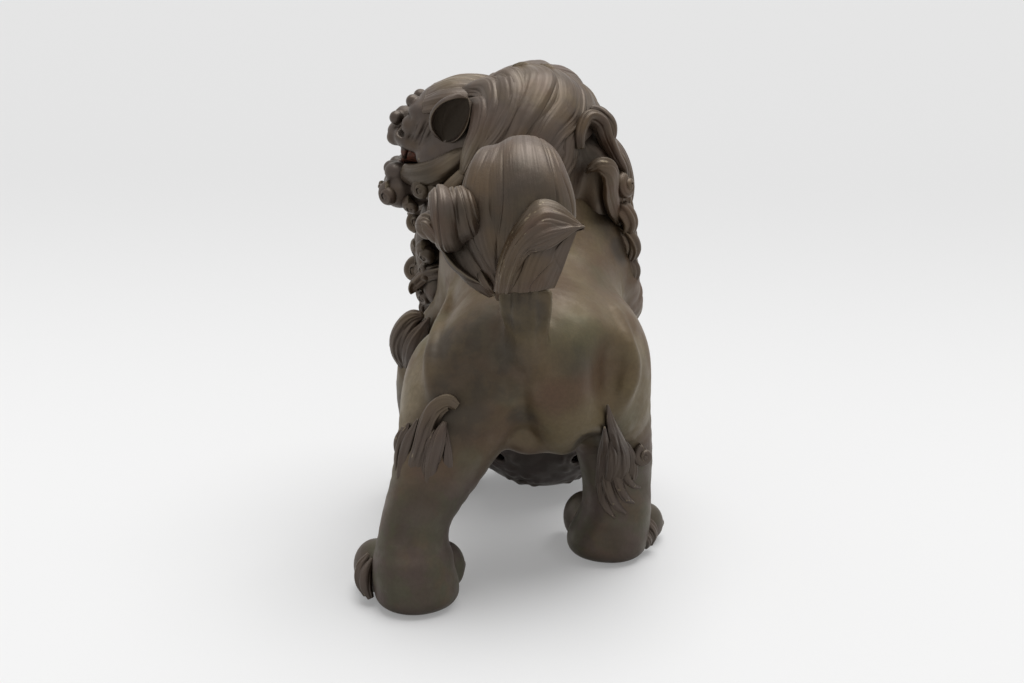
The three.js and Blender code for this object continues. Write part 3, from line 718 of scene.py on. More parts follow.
# Rows at the haunches are [x, lift off the rump, z, half width, half depth].
HAUNCH_RIDGES = [
    [(27, -5, 114, 1, 1), (29.5, 0.4, 108, 2.6, 2.6), (30.4, 0.9, 100, 3, 3), (28.6, 0.4, 91, 2.6, 2.6),
     (25, -4, 82, 1, 1)],
    [(-45, -7, 116, 1, 1), (-51, 0, 106, 2.6, 2.6), (-53.2, 0.8, 96, 3, 3), (-50.5, 0.4, 86, 2.6, 2.6),
     (-46, -4, 77, 1, 1)],
]
SHANK_GROOVES = [
    [(33, 2.4, 62, 1.6, 1.6), (36, 2, 50, 2.2, 2.2), (38.5, 1.6, 38, 2.6, 2.6)],
    [(-37, 2, 60, 1.6, 1.6), (-38, 1.6, 48, 2.4, 2.4), (-38.5, 1.6, 38, 2, 2)],
]
CREASE = [(-7.5, 65, 98, 1.6, 4), (-8, 63.5, 88, 2.4, 6), (-8.5, 59.5, 78, 2.8, 6), (-9, 53, 69, 3, 5)]
TRUNK_MASSES = {
    "loins": ((-10, 29, 99), (37, 26, 28), 10),
    "breast": ((-3, -58, 126), (34, 18, 30), 10),
}
LIMB_MASSES = {
    "left shoulder": ((19, -48, 112), (15, 23, 30), 7),
    "right shoulder": ((-36.5, -46, 113), (15.5, 24, 31), 7),
    "left thigh": ((24, 24, 78), (21, 30, 30), 6),
    "right thigh": ((-40, 13, 87), (20, 30, 33), 6),
    "left of the rump": ((10, 38, 89), (22, 22, 29), 3.5),
    "right of the rump": ((-25, 34, 87), (22.5, 23, 30), 3.5),
}
RUMP_FORMS = {
    "below the crease": ((-9, 40, 63.5), (7, 6, 5), 7),
    "hollow beside the tail": ((12, 68, 107), (15, 13, 17), 11, CARVED),
    "hollow inside the right haunch's ridge": ((-44.5, 51.5, 97), (6, 13, 14), 12, CARVED),
    "hollow behind the right thigh": ((-35, 47, 60), (5, 12, 9), 8, CARVED),
    "hollow on the left shank": ((39, 85, 34), (4.5, 6.5, 6), 8, CARVED),
}
# Pads between the heels and the inner toes.
HEEL_PADS = {
    "left": ((28, 66, 7), (9.5, 13, 8), 5),
    "right": ((-37, 9, 8), (12, 15, 10), 5),
}
RIGHT_PAW = ((-11, -81, 91), (15, 16, 12), 4)
BALL_CLEARANCE = 0.4
TOE_PLACES = (-1.5, -0.5, 0.5, 1.5)
FOOT_TOE = (9, 12.5, 13)
PAW_TOE = (6.5, 11, 8)


def toes(field, foot, size, spread, reach, heading, shrink=(1, 1, 1, 1)):
    """Four toes fan out ahead of a foot, each with a claw; heading is in degrees from -Y."""
    for place, scale in zip(TOE_PLACES, shrink):
        angle = math.radians(heading + place * spread)
        ahead = np.array([math.sin(angle), -math.cos(angle), 0])
        across = np.array([math.cos(angle), math.sin(angle), 0])
        middle = np.array(foot) * (1, 1, scale) + ahead * reach
        wide, long, tall = np.array(size) * scale
        field.blob(middle, (wide, long, tall), 2, np.stack([across, -ahead, (0, 0, 1)], 1))
        tip = middle + ahead * (long - 3)
        forward = unit(0.5 * ahead + (0, -0.5, 0))
        claw = [(*(tip - forward * 2), 3.2, 3.6), (*(tip + forward * 3 - (0, 0, 2)), 2.6, 2.8),
                (*(tip + forward * 4.5 - (0, 0, tall * 0.55)), 0.8, 0.8)]
        field.tube(claw, 0.8, across, pieces=4)


def body_skin():
    field = Field(*BODY_GRID)
    field.tube(BACK, 10)
    field.blobs(TRUNK_MASSES)
    field.tube(NECK, 10)
    field.blobs(LIMB_MASSES)
    for leg in (HIND_LEFT, HIND_RIGHT, FORE_LEFT):
        field.tube(leg, 6)
    field.tube(FORE_RIGHT, 6, (0, 0, 1))
    field.tube(TAIL_STEM, 7)
    for edge in STEM_EDGES:
        field.tube(edge, 2.6)
    field.tube(CREASE, 8, carve=True)
    field.blobs(RUMP_FORMS)
    for groove in SHANK_GROOVES:
        field.tube(on_skin(field, groove), 8, carve=True)
    for ridge in HAUNCH_RIDGES:
        field.tube(on_skin(field, ridge), 5)
    field.blobs(HEEL_PADS)
    toes(field, (38.5, 65, 11.5), FOOT_TOE, spread=36, reach=15.5, heading=6, shrink=(0.95, 1, 1, 1))
    toes(field, (-46, 3, 10.5), FOOT_TOE, spread=36, reach=15, heading=0, shrink=(0.8, 1, 1, 1))
    toes(field, (41, -57, 9), FOOT_TOE, spread=22, reach=16, heading=-10)
    field.blob(*RIGHT_PAW)
    toes(field, (-11, -81, 87), PAW_TOE, spread=24, reach=14, heading=10)
    field.blob(BALL_AT, [BALL_RADIUS + BALL_CLEARANCE] * 3, 0.6, carve=True)
    field.cut_below(0, 6)
    points, quads = field.mesh()
    piece("body_skin", points, quads, BODY_PATINA,
          ("trunk", "hind_leg_left", "hind_leg_right", "foreleg_left", "foreleg_right"))
    return field


# The head, in its own frame.

HEAD_GRID = ((-36, -54, -30), (36, 40, 38), 0.6)
JAW_GRID = ((-30, -54, -38), (30, 12, 4), 0.6)
HEAD_MASSES = {
    "skull": ((0, 3, 4), (24, 28, 23), 4),
    "forehead": ((0, -14, 15.5), (17, 14, 12.5), 6),
    "muzzle": ((0, -23, 5), (14.5, 14, 8.5), 5),
    "bridge of the nose": ((0, -33, 11), (5.5, 6, 5.5), 3),
    "nose": ((0, -37, 5), (7.5, 4.4, 4.4), 2),
    "below the nose": ((0, -37, 2.2), (6.5, 3.4, 3), 1.5),
}
# Masses on both sides of the face are given for its left.
FACE_SIDE = {
    "cheekbone": ((15, -12, -3), (8, 12, 8), 5),
    "brow": ((10, -23, 16), (6, 6, 5), 4),
    "lip": ((9, -30, 4.6), (6, 6, 4.4), 1.5),
    "eye socket": ((12, -29, 10), (6, 5.5, 5.5), 1.5, CARVED),
    "eyeball": ((11, -27, 10), (5, 5, 5), 0.4),
    "pupil": ((13, -31.5, 10.4), (1.4, 1.4, 1.4), 0.4, CARVED),
    "cheek": ((10.5, -21, 10), (5, 8, 9.5), 2),
}
NOSTRIL = {
    "wing": ((6, -36, 3), (4, 4.4, 3.6), 1.5),
    "opening": ((4.4, -41, 3), (1.8, 2.6, 1.8), 0.6, CARVED),
}
JAW_MASSES = {
    "jaw": ((0, -24, -19), (13, 19, 7), 4),
    "throat": ((0, -7, -17), (16, 12, 9), 5),
    "chin": ((0, -37, -19), (8, 6, 6.5), 3),
    "below the chin": ((0, -32, -25), (10, 9, 5.5), 4),
    "floor of the mouth": ((0, -25, -7.5), (9.8, 14, 5), 1.2, CARVED),
}
JAW_SIDE = {
    "front of the lip": ((4.5, -39, -11.5), (4.2, 3.6, 3.4), 0.8),
    "side of the lip": ((9.5, -35, -12), (5.2, 5.6, 4.6), 1.2),
    "jowl": ((8, -34, -21), (8, 8, 8), 2),
}
UPPER_LIP = [(-15, -12, -3), (-13, -28, 1.5), (0, -38, 2.5), (13, -28, 1.5), (15, -12, -3)]
LOWER_LIP = [(-14, -12, -9), (-12, -28, -11), (0, -38, -11.5), (12, -28, -11), (14, -12, -9)]
FANG = [(9, -31, -1, 2.0, 2.0), (9, -31.5, -3.5, 1.5, 1.5), (8.7, -31, -6, 0.5, 0.5)]
TONGUE = [(0, -4, -12, 6, 2), (0, -12, -9, 7.5, 2.8), (0, -20, -6.5, 7.5, 3.6), (0, -28, -5, 6.5, 3.8),
          (0, -33, -7, 3.5, 2.4), (0, -35, -9, 1, 1)]
MOUTH = ((0, -26, -4.8), (12, 18, 6.0))
JAW_LINING = ((0, -25, -7.5), (9.2, 13, 5.4))
BROW_KNOBS = [((6, -28, 20), 3.2), ((5.5, -36, 12), 3.2)]
# Folds that run from the mouth's corner up to the brow: their low, middle and high points.
CHEEK_FOLDS = [((13, -30.5, 2.5), (14.4, -26.4, 10.5), (14.4, -22, 18.5)),
               ((14, -26, 2), (15.7, -21.8, 10.5), (15.6, -17.5, 18.5)),
               ((16, -21.5, 1.5), (17, -17.2, 10.5), (17, -12.7, 18.5))]


def in_mouth(points):
    """1 on the lining of the open mouth, 0 outside it."""
    centre, radii = np.array(MOUTH[0]), np.array(MOUTH[1])
    scaled = np.linalg.norm((points - centre) / (radii + 0.8), axis=1)
    lips = smooth_step(-41, -35, points[:, 1])
    return smooth_step(0.8, 0.9, scaled) * (1 - smooth_step(0.97, 1.02, scaled)) * lips


def mirrored(rows, side):
    """Rows of [x, y, z, half width, half depth] on the left, or on the right where side is -1."""
    return np.array(rows) * (side, 1, 1, 1, 1)


def add_lip(field, points):
    field.tube([(*p, 2.4, 2.2) for p in points], 1.2, (0, 0, 1))


def head_skin():
    field = Field(*HEAD_GRID)
    field.blobs(HEAD_MASSES)
    for side in (-1, 1):
        field.blobs(FACE_SIDE, side)
        for low, middle, high in CHEEK_FOLDS:
            fold = [(*low, 0.9, 0.9), (*middle, 1.5, 1.5), (*high, 0.9, 0.9)]
            field.tube(mirrored(fold, side), 0.8)
        for centre, radius in BROW_KNOBS:
            field.blob(np.array(centre) * (side, 1, 1), [radius] * 3, 0.7)
        field.blobs(NOSTRIL, side)
    field.blob(*MOUTH, 1.2, carve=True)
    add_lip(field, UPPER_LIP)
    for side in (-1, 1):
        field.tube(mirrored(FANG, side), 0.6)
    points, quads = field.mesh()
    piece("head_skin", placed_on_head(points), quads, HEAD_PATINA, ("head",),
          fields={"mouth": in_mouth(points)})


def jaw_skin():
    field = Field(*JAW_GRID)
    field.blobs(JAW_MASSES)
    add_lip(field, LOWER_LIP)
    for side in (-1, 1):
        field.blobs(JAW_SIDE, side)
    points, quads = field.mesh()
    centre, radii = (np.array(v) for v in JAW_LINING)
    inside = 1 - smooth_step(0.97, 1.02, np.linalg.norm((points - centre) / radii, axis=1))
    piece("jaw_skin", placed_on_head(points), quads, HEAD_PATINA, ("lower_jaw",),
          fields={"mouth": inside})


def tongue():
    points, faces, _ = sweep(TONGUE, waves=(1, 0.5), lines=(4, 0.2), steps=40)
    piece("tongue_skin", placed_on_head(points), faces, MOUTH_COPPER, ("tongue",))


# Strands of an ear from its front edge to its back one: how far they bow aside, and how far they stand out.
EAR_ROOT = np.array((21.3, -9.8, 5.5))
EAR_TIP = np.array((26.0, 3.0, 27.0))
FAR_EAR_TIP = np.array((25.0, 5.0, 18.0))
EAR_STRANDS = [(-9.3, 4.8), (-8, 1.2), (-4.6, -1.2), (-0.5, -2.2), (3.2, -1.2), (6, 2.2)]


def ear(side, name, node):
    """A pointed leaf, cupped like a spoon; its hollow faces outwards."""
    along = (EAR_TIP if side > 0 else FAR_EAR_TIP) - EAR_ROOT
    back = unit(np.array((0, along[2], -along[1])))
    strands = []
    for aside, stands_out in EAR_STRANDS:
        rows = []
        for share in (0, 0.2, 0.45, 0.7, 0.9, 1):
            bow = (4 * share * (1 - share)) ** 0.7
            place = EAR_ROOT + along * share + back * aside * bow + np.array((2.5 + stands_out, 0, 0)) * bow
            rows.append(place * (side, 1, 1))
        strands.append(rows)
    across, steps = 60, 60
    points, faces, _ = sheet(strands[::side], 2.8, across, steps, waves=(1, 0.2), lines=(6, 0.1), seed=3)
    u = np.linspace(-1, 1, across)
    hollow = np.zeros((steps, 2 * across))
    hollow[:, :across] = smooth_step(0.95, 0.7, np.abs(u))
    piece(name, placed_on_head(points), faces, HEAD_PATINA, (node,),
          fields={"hollow": np.concatenate([hollow.ravel(), [0, 0]])})


# Curls are (centre, axis, radius), tufts are (points, half width, half depth), both for the face's left.
FACE_CURLS = [((21.5, -19.5, -16), (1, -0.2, 0), 5.4), ((14, -37, -21.5), (1, -0.5, 0), 5.8),
              ((13, -27, -26), (1, -0.2, -0.5), 4.8), ((5, -43.5, -20.5), (0.5, -1, 0), 2.6),
              ((16, -14, -25), (1, 0, -0.5), 4.8)]
FACE_TUFTS = [
    ([(12, -29, -12), (18, -22, -11), (22, -13, -8), (23, -4, -2), (22, 4, 4)], 6, 5),
    ([(17, -22, -14), (21, -14, -17), (22, -9, -23), (18, -10, -30)], 5, 3.8),
    ([(20, -6, -6), (23, 0, -12), (22, 2, -20), (19, -2, -28)], 5.5, 4),
]


def face_hair():
    """Tufts along the cheeks, and curls on the cheeks and the beard, the same on both sides."""
    locks = []
    for side in (-1, 1):
        mirror = np.array((side, 1, 1))
        for k, (centre, axis, radius) in enumerate(FACE_CURLS):
            rows = coil(np.array(centre) * mirror, np.array(axis) * mirror, radius)
            rows[:, :3] = placed_on_head(rows[:, :3])
            locks.append(sweep(rows, waves=(2, 0.3), lines=(1.6, 0.35), around=24, steps=60, seed=k + 1))
        for k, (points, width, depth) in enumerate(FACE_TUFTS):
            rows = tapered(np.array(points) * mirror, width, depth, root=0.75, tip=0.5)
            rows[:, :3] = placed_on_head(rows[:, :3])
            locks.append(sweep(rows, side=(0, 0, 1), around=40, steps=36, waves=(2, 0.5), lines=(1.4, 0.4),
                               seed=k + 11))
    hair_piece("face_hair", locks)


# The mane: a cap of hair under long locks that are combed back from the forehead and fall to both sides.

HOOD = (np.array((-4.5, -51.0, 164.0)), np.array((32.0, 37.0, 40.0)))
PARTING_Y = -54.0
SIDE_LOCKS = [
    [(20, -57, 192), (13, -40, 194), (12, -29, 188), (15, -27, 180), (22, -31, 169), (27, -36, 158)],
    [(13, -57, 197), (5, -36, 198), (4, -27, 191), (8, -22, 183), (15, -24, 174), (20, -28, 162)],
    [(6, -57, 201), (-3, -34, 198), (-2, -24, 190), (4, -20, 181), (10, -20, 170), (13, -22, 157)],
    [(-1, -57, 203), (-8, -37, 201), (-6, -27, 194), (-1, -20, 185), (4, -16, 172), (5, -16, 158)],
    [(-6, -57, 204), (-13, -37, 200), (-11, -26, 193), (-4, -19, 184), (-1, -15, 172), (-3, -14, 158)],
    [(-12, -57, 203), (-20, -40, 198), (-21, -29, 192), (-14, -20, 184), (-9, -15, 174), (-10, -14, 163),
     (-15, -16, 154)],
]
BACK_LOCKS = [
    [(-10, -62, 202), (-19, -58, 201), (-26, -44, 196), (-26, -30, 189), (-21, -22, 183), (-17, -17, 175),
     (-20, -17, 166), (-16, -16, 158)],
    [(-14, -64, 200), (-23, -55, 199), (-31, -47, 193), (-29, -32, 187), (-24, -23, 180), (-23, -20, 172),
     (-20, -18, 165), (-23, -18, 156)],
    [(-19, -64, 198), (-30, -57, 194), (-36, -49, 187), (-38, -42, 180)],
    [(-24, -66, 195), (-35, -62, 186), (-40, -54, 177), (-42, -48, 168)],
]
# Locks that start on the skull's dome and run over to the hood behind the near ear.
BRIDGE_LOCKS = [
    [(23, -57, 194), (13, -50, 198.5), (4, -40, 200), (0, -30, 194), (5, -24, 184), (11, -24, 172)],
    [(29, -51, 192), (20, -46, 196.5), (12, -38, 197), (9, -29, 190), (12, -25, 179), (18, -27, 167)],
    [(27, -44, 187), (19, -38, 191), (14, -32, 189), (13, -28, 181), (17, -29, 171), (24, -33, 160)],
]
# Two ribbons stand clear of the hood on the right: an arch, and a hook below it.
RIGHT_RIBBONS = [
    [(-28, -22, 176, 2.4, 2), (-28, -24, 183, 4, 2.8), (-31, -28, 188.5, 4.6, 3), (-35.5, -31, 186, 4.6, 3),
     (-38.6, -33, 178.5, 4, 3), (-42, -36, 171, 3.4, 2.8), (-46, -40, 163, 2.6, 2.4),
     (-47, -43, 157, 1.2, 1.2)],
    [(-31, -21.5, 165.5, 0.7, 0.7), (-33, -20, 168, 2, 1.4), (-36.5, -19.5, 169.4, 3.4, 2),
     (-40, -21.5, 167.5, 4.6, 2.4), (-41.5, -25, 162, 5.2, 2.6), (-41.5, -28, 155, 5.2, 2.6),
     (-42.5, -31, 147.6, 4, 2.4), (-44.5, -35, 140, 1.4, 1.2)],
    [(-32, -38, 190, 2, 2), (-36, -37, 188.5, 3, 3), (-39.5, -36, 184, 3.6, 3.4), (-39.8, -36, 178, 3, 3),
     (-38.5, -37, 173, 1.2, 1.2)],
]
RIGHT_LOCKS = [
    ([(-36, -47, 172), (-42, -46, 167), (-46, -44, 161), (-46, -43, 154)], 4.2, 3.6),
    ([(-42, -39, 164), (-46, -39, 156), (-47.5, -40, 148), (-46, -41, 140)], 3.6, 2.8),
    ([(-42, -34, 160), (-45, -36, 152), (-44, -37, 145), (-46.5, -39, 138)], 3, 2.6),
    ([(-42, -48, 152), (-46, -46, 147), (-48, -44, 140), (-49, -43, 133)], 4.6, 3.8),
    ([(-43, -47, 140), (-47.5, -45, 135), (-49.5, -43, 129), (-50, -42, 122)], 4.8, 4),
    ([(-44, -46, 127), (-48.5, -44, 122), (-50.5, -42, 117), (-49, -40, 110)], 4.4, 3.6),
    ([(-41, -38, 148), (-46.5, -36, 145.5), (-49.5, -36, 139.5), (-47.5, -36.5, 134), (-44.5, -37, 135)],
     4.8, 4.2),
    ([(-44, -38, 136), (-48.5, -36, 133), (-50.8, -36, 127.5), (-48.8, -36.5, 122.4), (-45.8, -37, 123.4)],
     4.6, 4),
    ([(-45, -38, 124.6), (-49, -37, 121.8), (-50.8, -36.5, 116.8), (-49, -37, 111.6), (-46.4, -38, 112)],
     4.2, 3.8),
    ([(-36, -44, 176), (-42.5, -46, 164), (-45, -47, 150), (-44.5, -46, 136)], 6, 4),
    ([(-34, -53, 177), (-42.5, -52, 165), (-45.5, -52, 150), (-45, -50, 134)], 6, 4),
    ([(-34, -66, 172), (-42, -66, 158), (-44, -62, 144), (-42, -58, 130)], 6, 4),
    ([(-30, -60, 178), (-42, -58, 166), (-47, -54, 152), (-46, -50, 140)], 6, 4, 0.5),
    ([(-26, -70, 180), (-38, -71, 165), (-44, -66, 150), (-43, -62, 140)], 6, 4, 0.5),
    ([(-28, -74, 160), (-39, -73, 147), (-44, -67, 134), (-42, -62, 127)], 5.5, 4, 0.5),
]
RIGHT_CURLS = [((-46.5, -37, 156), (-1, 0.5, 0.2), 6.4)]
LEFT_LOCKS = [
    ([(20, -34, 164), (29, -33, 154), (33, -36, 143), (30, -39, 133)], 6, 4.5),
    ([(28, -56, 146), (40, -66, 140), (48, -74, 134), (53, -78, 131)], 4.6, 4),
    ([(32, -60, 137), (43, -69, 132), (48, -74, 124)], 4.8, 4.2),
    ([(40, -64, 130), (46, -71, 122), (48, -74, 114)], 4.6, 4),
    ([(34, -62, 123), (45, -70, 116), (49, -74, 107)], 5, 4.4),
    ([(36, -64, 114), (46, -71, 107), (48, -73, 98)], 4.8, 4.2),
    ([(28, -54, 112), (36, -58, 110), (43, -61, 107), (48, -63, 102)], 5.6, 4.4, 0.3),
    ([(34, -60, 101), (42, -66, 96), (45, -69, 90)], 4.8, 4, 0.3),
]
LEFT_CURLS = [((42.5, -58, 130), (0.9, 0.6, 0), 6.4), ((42, -57, 118.5), (0.6, 0.8, -0.5), 6.4),
              ((43, -60, 108), (0.9, 0.5, 0.3), 5.6), ((48.5, -75, 127.5), (0.4, 1, 0.4), 6.2),
              ((47, -73, 115), (0.8, 0.6, -0.4), 6.2), ((49.5, -75, 104.5), (0.4, 1, 0.3), 6.6),
              ((44, -66, 95.5), (0.7, 0.8, -0.3), 6)]
CHEST_LOCKS = [
    ([(-24, -72, 160), (-27, -78, 149), (-28, -78, 137), (-25, -75, 126)], 7, 4.4),
    ([(-12, -76, 160), (-14, -82, 148), (-14, -82, 136), (-10, -80, 125)], 7, 4.4),
    ([(0, -78, 160), (0, -83, 148), (1, -83, 136), (5, -80, 125)], 7, 4.4),
    ([(11, -78, 158), (14, -82, 147), (14, -82, 136), (11, -80, 126)], 7, 4.4),
    ([(21, -74, 156), (26, -78, 146), (27, -78, 135), (23, -76, 125)], 7, 4.4),
    ([(12, -64, 140), (17, -80, 126), (19, -86, 111), (14, -86, 100)], 7, 4.6),
    ([(0, -66, 142), (0, -83, 128), (2, -89, 114), (8, -89, 104)], 7, 4.6),
    ([(-12, -64, 142), (-17, -79, 128), (-20, -83, 116), (-26, -81, 108)], 7, 4.6),
    ([(24, -66, 134), (31, -76, 122), (33, -80, 108), (28, -80, 98)], 6, 4.4),
    ([(-24, -66, 140), (-31, -74, 126), (-33, -76, 114), (-28, -78, 106)], 6, 4.4),
]


def on_hood(points, lift):
    """Points moved in or out to the hood's surface."""
    centre, radii = HOOD
    offset = np.asarray(points, float) - centre
    return centre + offset * (1 + lift / radii.mean()) / np.linalg.norm(offset / radii, axis=1)[:, None]


SKULL = (np.array((0.0, -1.5, 5.0)), np.array((25.0, 30.0, 24.0)))
FORELOCKS = [
    [(2, -20, 25), (3, -8, 31), (4, 6, 32), (5, 20, 27)],
    [(7, -21, 23), (10, -9, 29), (11, 5, 30), (12, 19, 25)],
    [(12, -20, 20), (16, -10, 25), (17, 3, 27), (18, 17, 21)],
    [(16, -10, 25), (20, 2, 21), (22, 12, 13), (22, 19, 3), (21, 20, -8)],
    [(22, 6, 14), (24, 12, 6), (24, 14, -4), (22, 12, -14)],
]


def forelocks():
    """Hair that runs from the forehead back over the skull and round the ears, in the head's frame."""
    locks = []
    centre, radii = SKULL
    for k, points in enumerate(FORELOCKS):
        for side in (1, -1):
            offset = np.array(points, float) * (side, 1, 1) - centre
            there = centre + offset / np.linalg.norm(offset / radii, axis=1)[:, None]
            rows = tapered(there, 6.4, 3.4, root=0.8, belly=0.4, tip=0.4)
            points_there, faces, strand = sweep(rows, facing=SKULL, around=80, steps=70, waves=(2, 0.7),
                                                lines=(2, 0.3), seed=150 + k)
            locks.append((placed_on_head(points_there), faces, strand))
    hair_piece("forelocks", locks)


MANE_GRID = ((-64, -100, 84), (60, 4, 212), 1.0)
HOOD_RIGHT_SIDE = ((-34, -46, 156), (9, 18, 26), 6)
RIBBON_GAP = ((-35, -24, 173), (6, 7, 9), 3)
RIGHT_BACKING = [(-36, -48, 172, 7, 11), (-41, -48, 158, 7, 12), (-44, -47, 142, 7, 11),
                 (-46, -46, 126, 6.5, 9), (-46, -44, 115, 5, 7)]
LEFT_BACKING = [(24, -58, 148, 12, 13), (36, -66, 132, 11, 11), (40, -69, 114, 9.5, 9), (39, -66, 98, 7, 8)]


def mane_hood():
    field = Field(*MANE_GRID)
    field.blob(HOOD[0], HOOD[1] - 0.8, 6)
    field.blob(*HOOD_RIGHT_SIDE)
    field.tube(RIGHT_BACKING, 4)
    field.tube(LEFT_BACKING, 4)
    field.blob(*RIBBON_GAP, carve=True)
    points, quads = field.mesh()
    piece("mane_cap", points, quads, HAIR_PATINA, ("mane_hood",),
          fields={"strand": points[:, [1, 2]]})


def hood_lock(rows, steps, swelling, seed):
    """A lock that lies on the hood."""
    return sweep(rows, facing=HOOD, around=96, steps=steps, waves=(2, swelling), lines=(1.8, 0.4), seed=seed)


def mane_locks():
    locks = []
    for k, points in enumerate(SIDE_LOCKS):
        for side in (1, -1):
            there = np.array(points, float)
            there[:, 1] = PARTING_Y + side * (there[:, 1] - PARTING_Y)
            rows = tapered(on_hood(there, 1.6 * (k % 2)), 9.4, 4.4, root=0.5, belly=0.3, tip=0.25)
            locks.append(hood_lock(rows, 90, 1.1, seed=20 + 2 * k + side))
    for k, points in enumerate(BACK_LOCKS):
        rows = tapered(on_hood(points, 0.8 + 0.4 * (k % 2)), 7.6, 3.8, root=0.75, belly=0.35, tip=0.2)
        locks.append(hood_lock(rows, 100, 1.1, seed=50 + k))
    for k, points in enumerate(BRIDGE_LOCKS):
        there = np.array(points, float)
        there[2:] = on_hood(there[2:], 2.4)
        rows = tapered(there, 6.4, 3.4, root=0.6, belly=0.4, tip=0.2)
        locks.append(hood_lock(rows, 90, 1.0, seed=60 + k))
    hair_piece("mane_strands", locks)


def side_locks(name, table, curls, node, side, ribbons=()):
    """Locks that fall down one side; a lock's fourth value is the part of a turn that its hook makes."""
    locks = []
    for k, (points, width, depth, *turns) in enumerate(table):
        rows = tapered(points, width, depth, root=0.7, tip=0.75 if turns else 0.35)
        if turns:
            rows = hooked(rows, HOOK_AXIS, 0.6 * width, *turns, tip=0.5 * width, tighten=0.6)
        locks.append(sweep(rows, side=side, around=64, steps=80, waves=(3, 0.9), lines=(1.4, 0.5),
                           seed=70 + k))
    for k, rows in enumerate(ribbons):
        locks.append(sweep(rows, side=(0, 0, 1), around=80, steps=100, waves=(2, 0.8), lines=(1.6, 0.5),
                           seed=170 + k))
    for k, curl in enumerate(curls):
        locks.append(ball_curl(*curl, 0.35, 90 + k))
    hair_piece(name, locks, (node,))


# The tail: a plume that rolls forward at the top, a side curl wound like a shell, and a broad leaf of hair.

PLUME = [(-9, 59, 135, 8.5, 4.5), (-9, 60, 140, 11, 6.5), (-9, 61, 153, 15, 10), (-11, 58, 167, 19, 13.5),
         (-9, 50, 180, 17, 14.5), (-7.5, 39, 184, 13.5, 12), (-7, 31, 178, 9, 7), (-7, 28, 170, 5, 4)]
PLUME_SHOULDER = [(-2, 58, 133, 5, 4), (-1, 60, 145, 9, 8), (2, 59, 160, 13.5, 11), (3, 53, 174, 13.5, 12.5),
                  (1.5, 44, 182, 11, 11.4), (1.5, 36, 177, 8, 7.5), (1.5, 33, 168, 2, 2)]
# The leaf's strands from its left edge to its right one: a flat panel, and a roll that breaks over it.
LEAF_PANEL = [
    [(0, 67, 139), (-1, 70, 147), (-5, 72, 157), (-11, 72, 166)],
    [(-6, 69, 138.5), (-7, 73, 147), (-11, 75, 157), (-17, 74, 166)],
    [(-14, 69, 139), (-16, 73, 147), (-19, 75, 156), (-24, 73, 164)],
    [(-22, 67, 140), (-25, 70, 148), (-28, 72, 157), (-31, 71, 165)],
]
LEAF_ROLL = [
    [(2.5, 66, 138), (1, 69, 149), (-4, 71, 163), (-9, 71, 171), (-15, 70, 177), (-21, 70, 177),
     (-26, 70, 174), (-33, 70, 167)],
    [(0, 69, 138), (-2, 74, 149), (-7, 78, 161), (-13, 79, 169), (-19, 77, 173), (-25, 75, 171),
     (-29, 73, 169), (-33.5, 70.5, 167)],
    [(-3, 70, 138), (-6, 75, 148), (-10, 79, 158), (-15, 82, 163), (-20, 81, 165), (-25, 78, 166),
     (-29, 75, 167), (-34, 71, 167)],
    [(-5, 68, 139), (-8, 72, 148), (-12, 76, 156), (-17, 79, 158.5), (-21, 79, 160), (-26, 77, 163),
     (-30, 74, 165.5), (-34, 70.5, 166.5)],
]
CURL_WISPS = [
    ([(17, 56, 162), (14, 57, 153), (10, 60, 146), (6, 61, 140), (3, 60, 135)], 8.5, 6.0),
    ([(24, 61.5, 154.5), (20, 62, 148.5), (14, 62, 143.5), (8, 62, 140), (4, 61, 135.5)], 2, 4.5),
    ([(9, 64, 147), (7, 66, 143), (5, 66, 140), (3, 63, 136)], 2.0, 1.6),
]
SHELL_AT = np.array((16.0, 60.5, 170.5))
SHELL_EYE = np.array((28.5, 68.0, 165.0))
SHELL_ROOT = [(2, 60, 135, 2.0, 2.0), (6, 59, 143, 3.0, 3.0), (11, 56, 151, 4.5, 4.0)]
SHELL_STEPS = 26
SHELL_RADIUS = 9
SHELL_START = -105
SHELL_WOUND = 527
EYE_RADIUS = 5.4
LEAF_FORWARD = np.array((0.0, 3.0, 0.5))
LEAF_THICKNESS = 5.0


def shell_curl():
    """The side curl: it rises from the stem and winds about +X, drawing in towards a round eye."""
    rows = list(SHELL_ROOT)
    for k in range(SHELL_STEPS + 1):
        share = k / SHELL_STEPS
        angle = math.radians(SHELL_START + SHELL_WOUND * share)
        radius = SHELL_RADIUS * (1 - share) + 1.0
        round_about = np.array((0, math.cos(angle), math.sin(angle)))
        place = SHELL_AT * (1 - share) + SHELL_EYE * share + radius * round_about
        rows.append((*place, 11 - 6.2 * share, 5.8 - 1.3 * share))
    return rows


def shell_eye():
    """The round eye of the side curl, along +X."""
    rows = []
    for k in range(9):
        angle = math.pi * (k + 0.4) / 8.8
        size = EYE_RADIUS * math.sin(angle)
        rows.append((*(SHELL_EYE - (EYE_RADIUS * math.cos(angle), 0, 0)), size, size))
    return rows


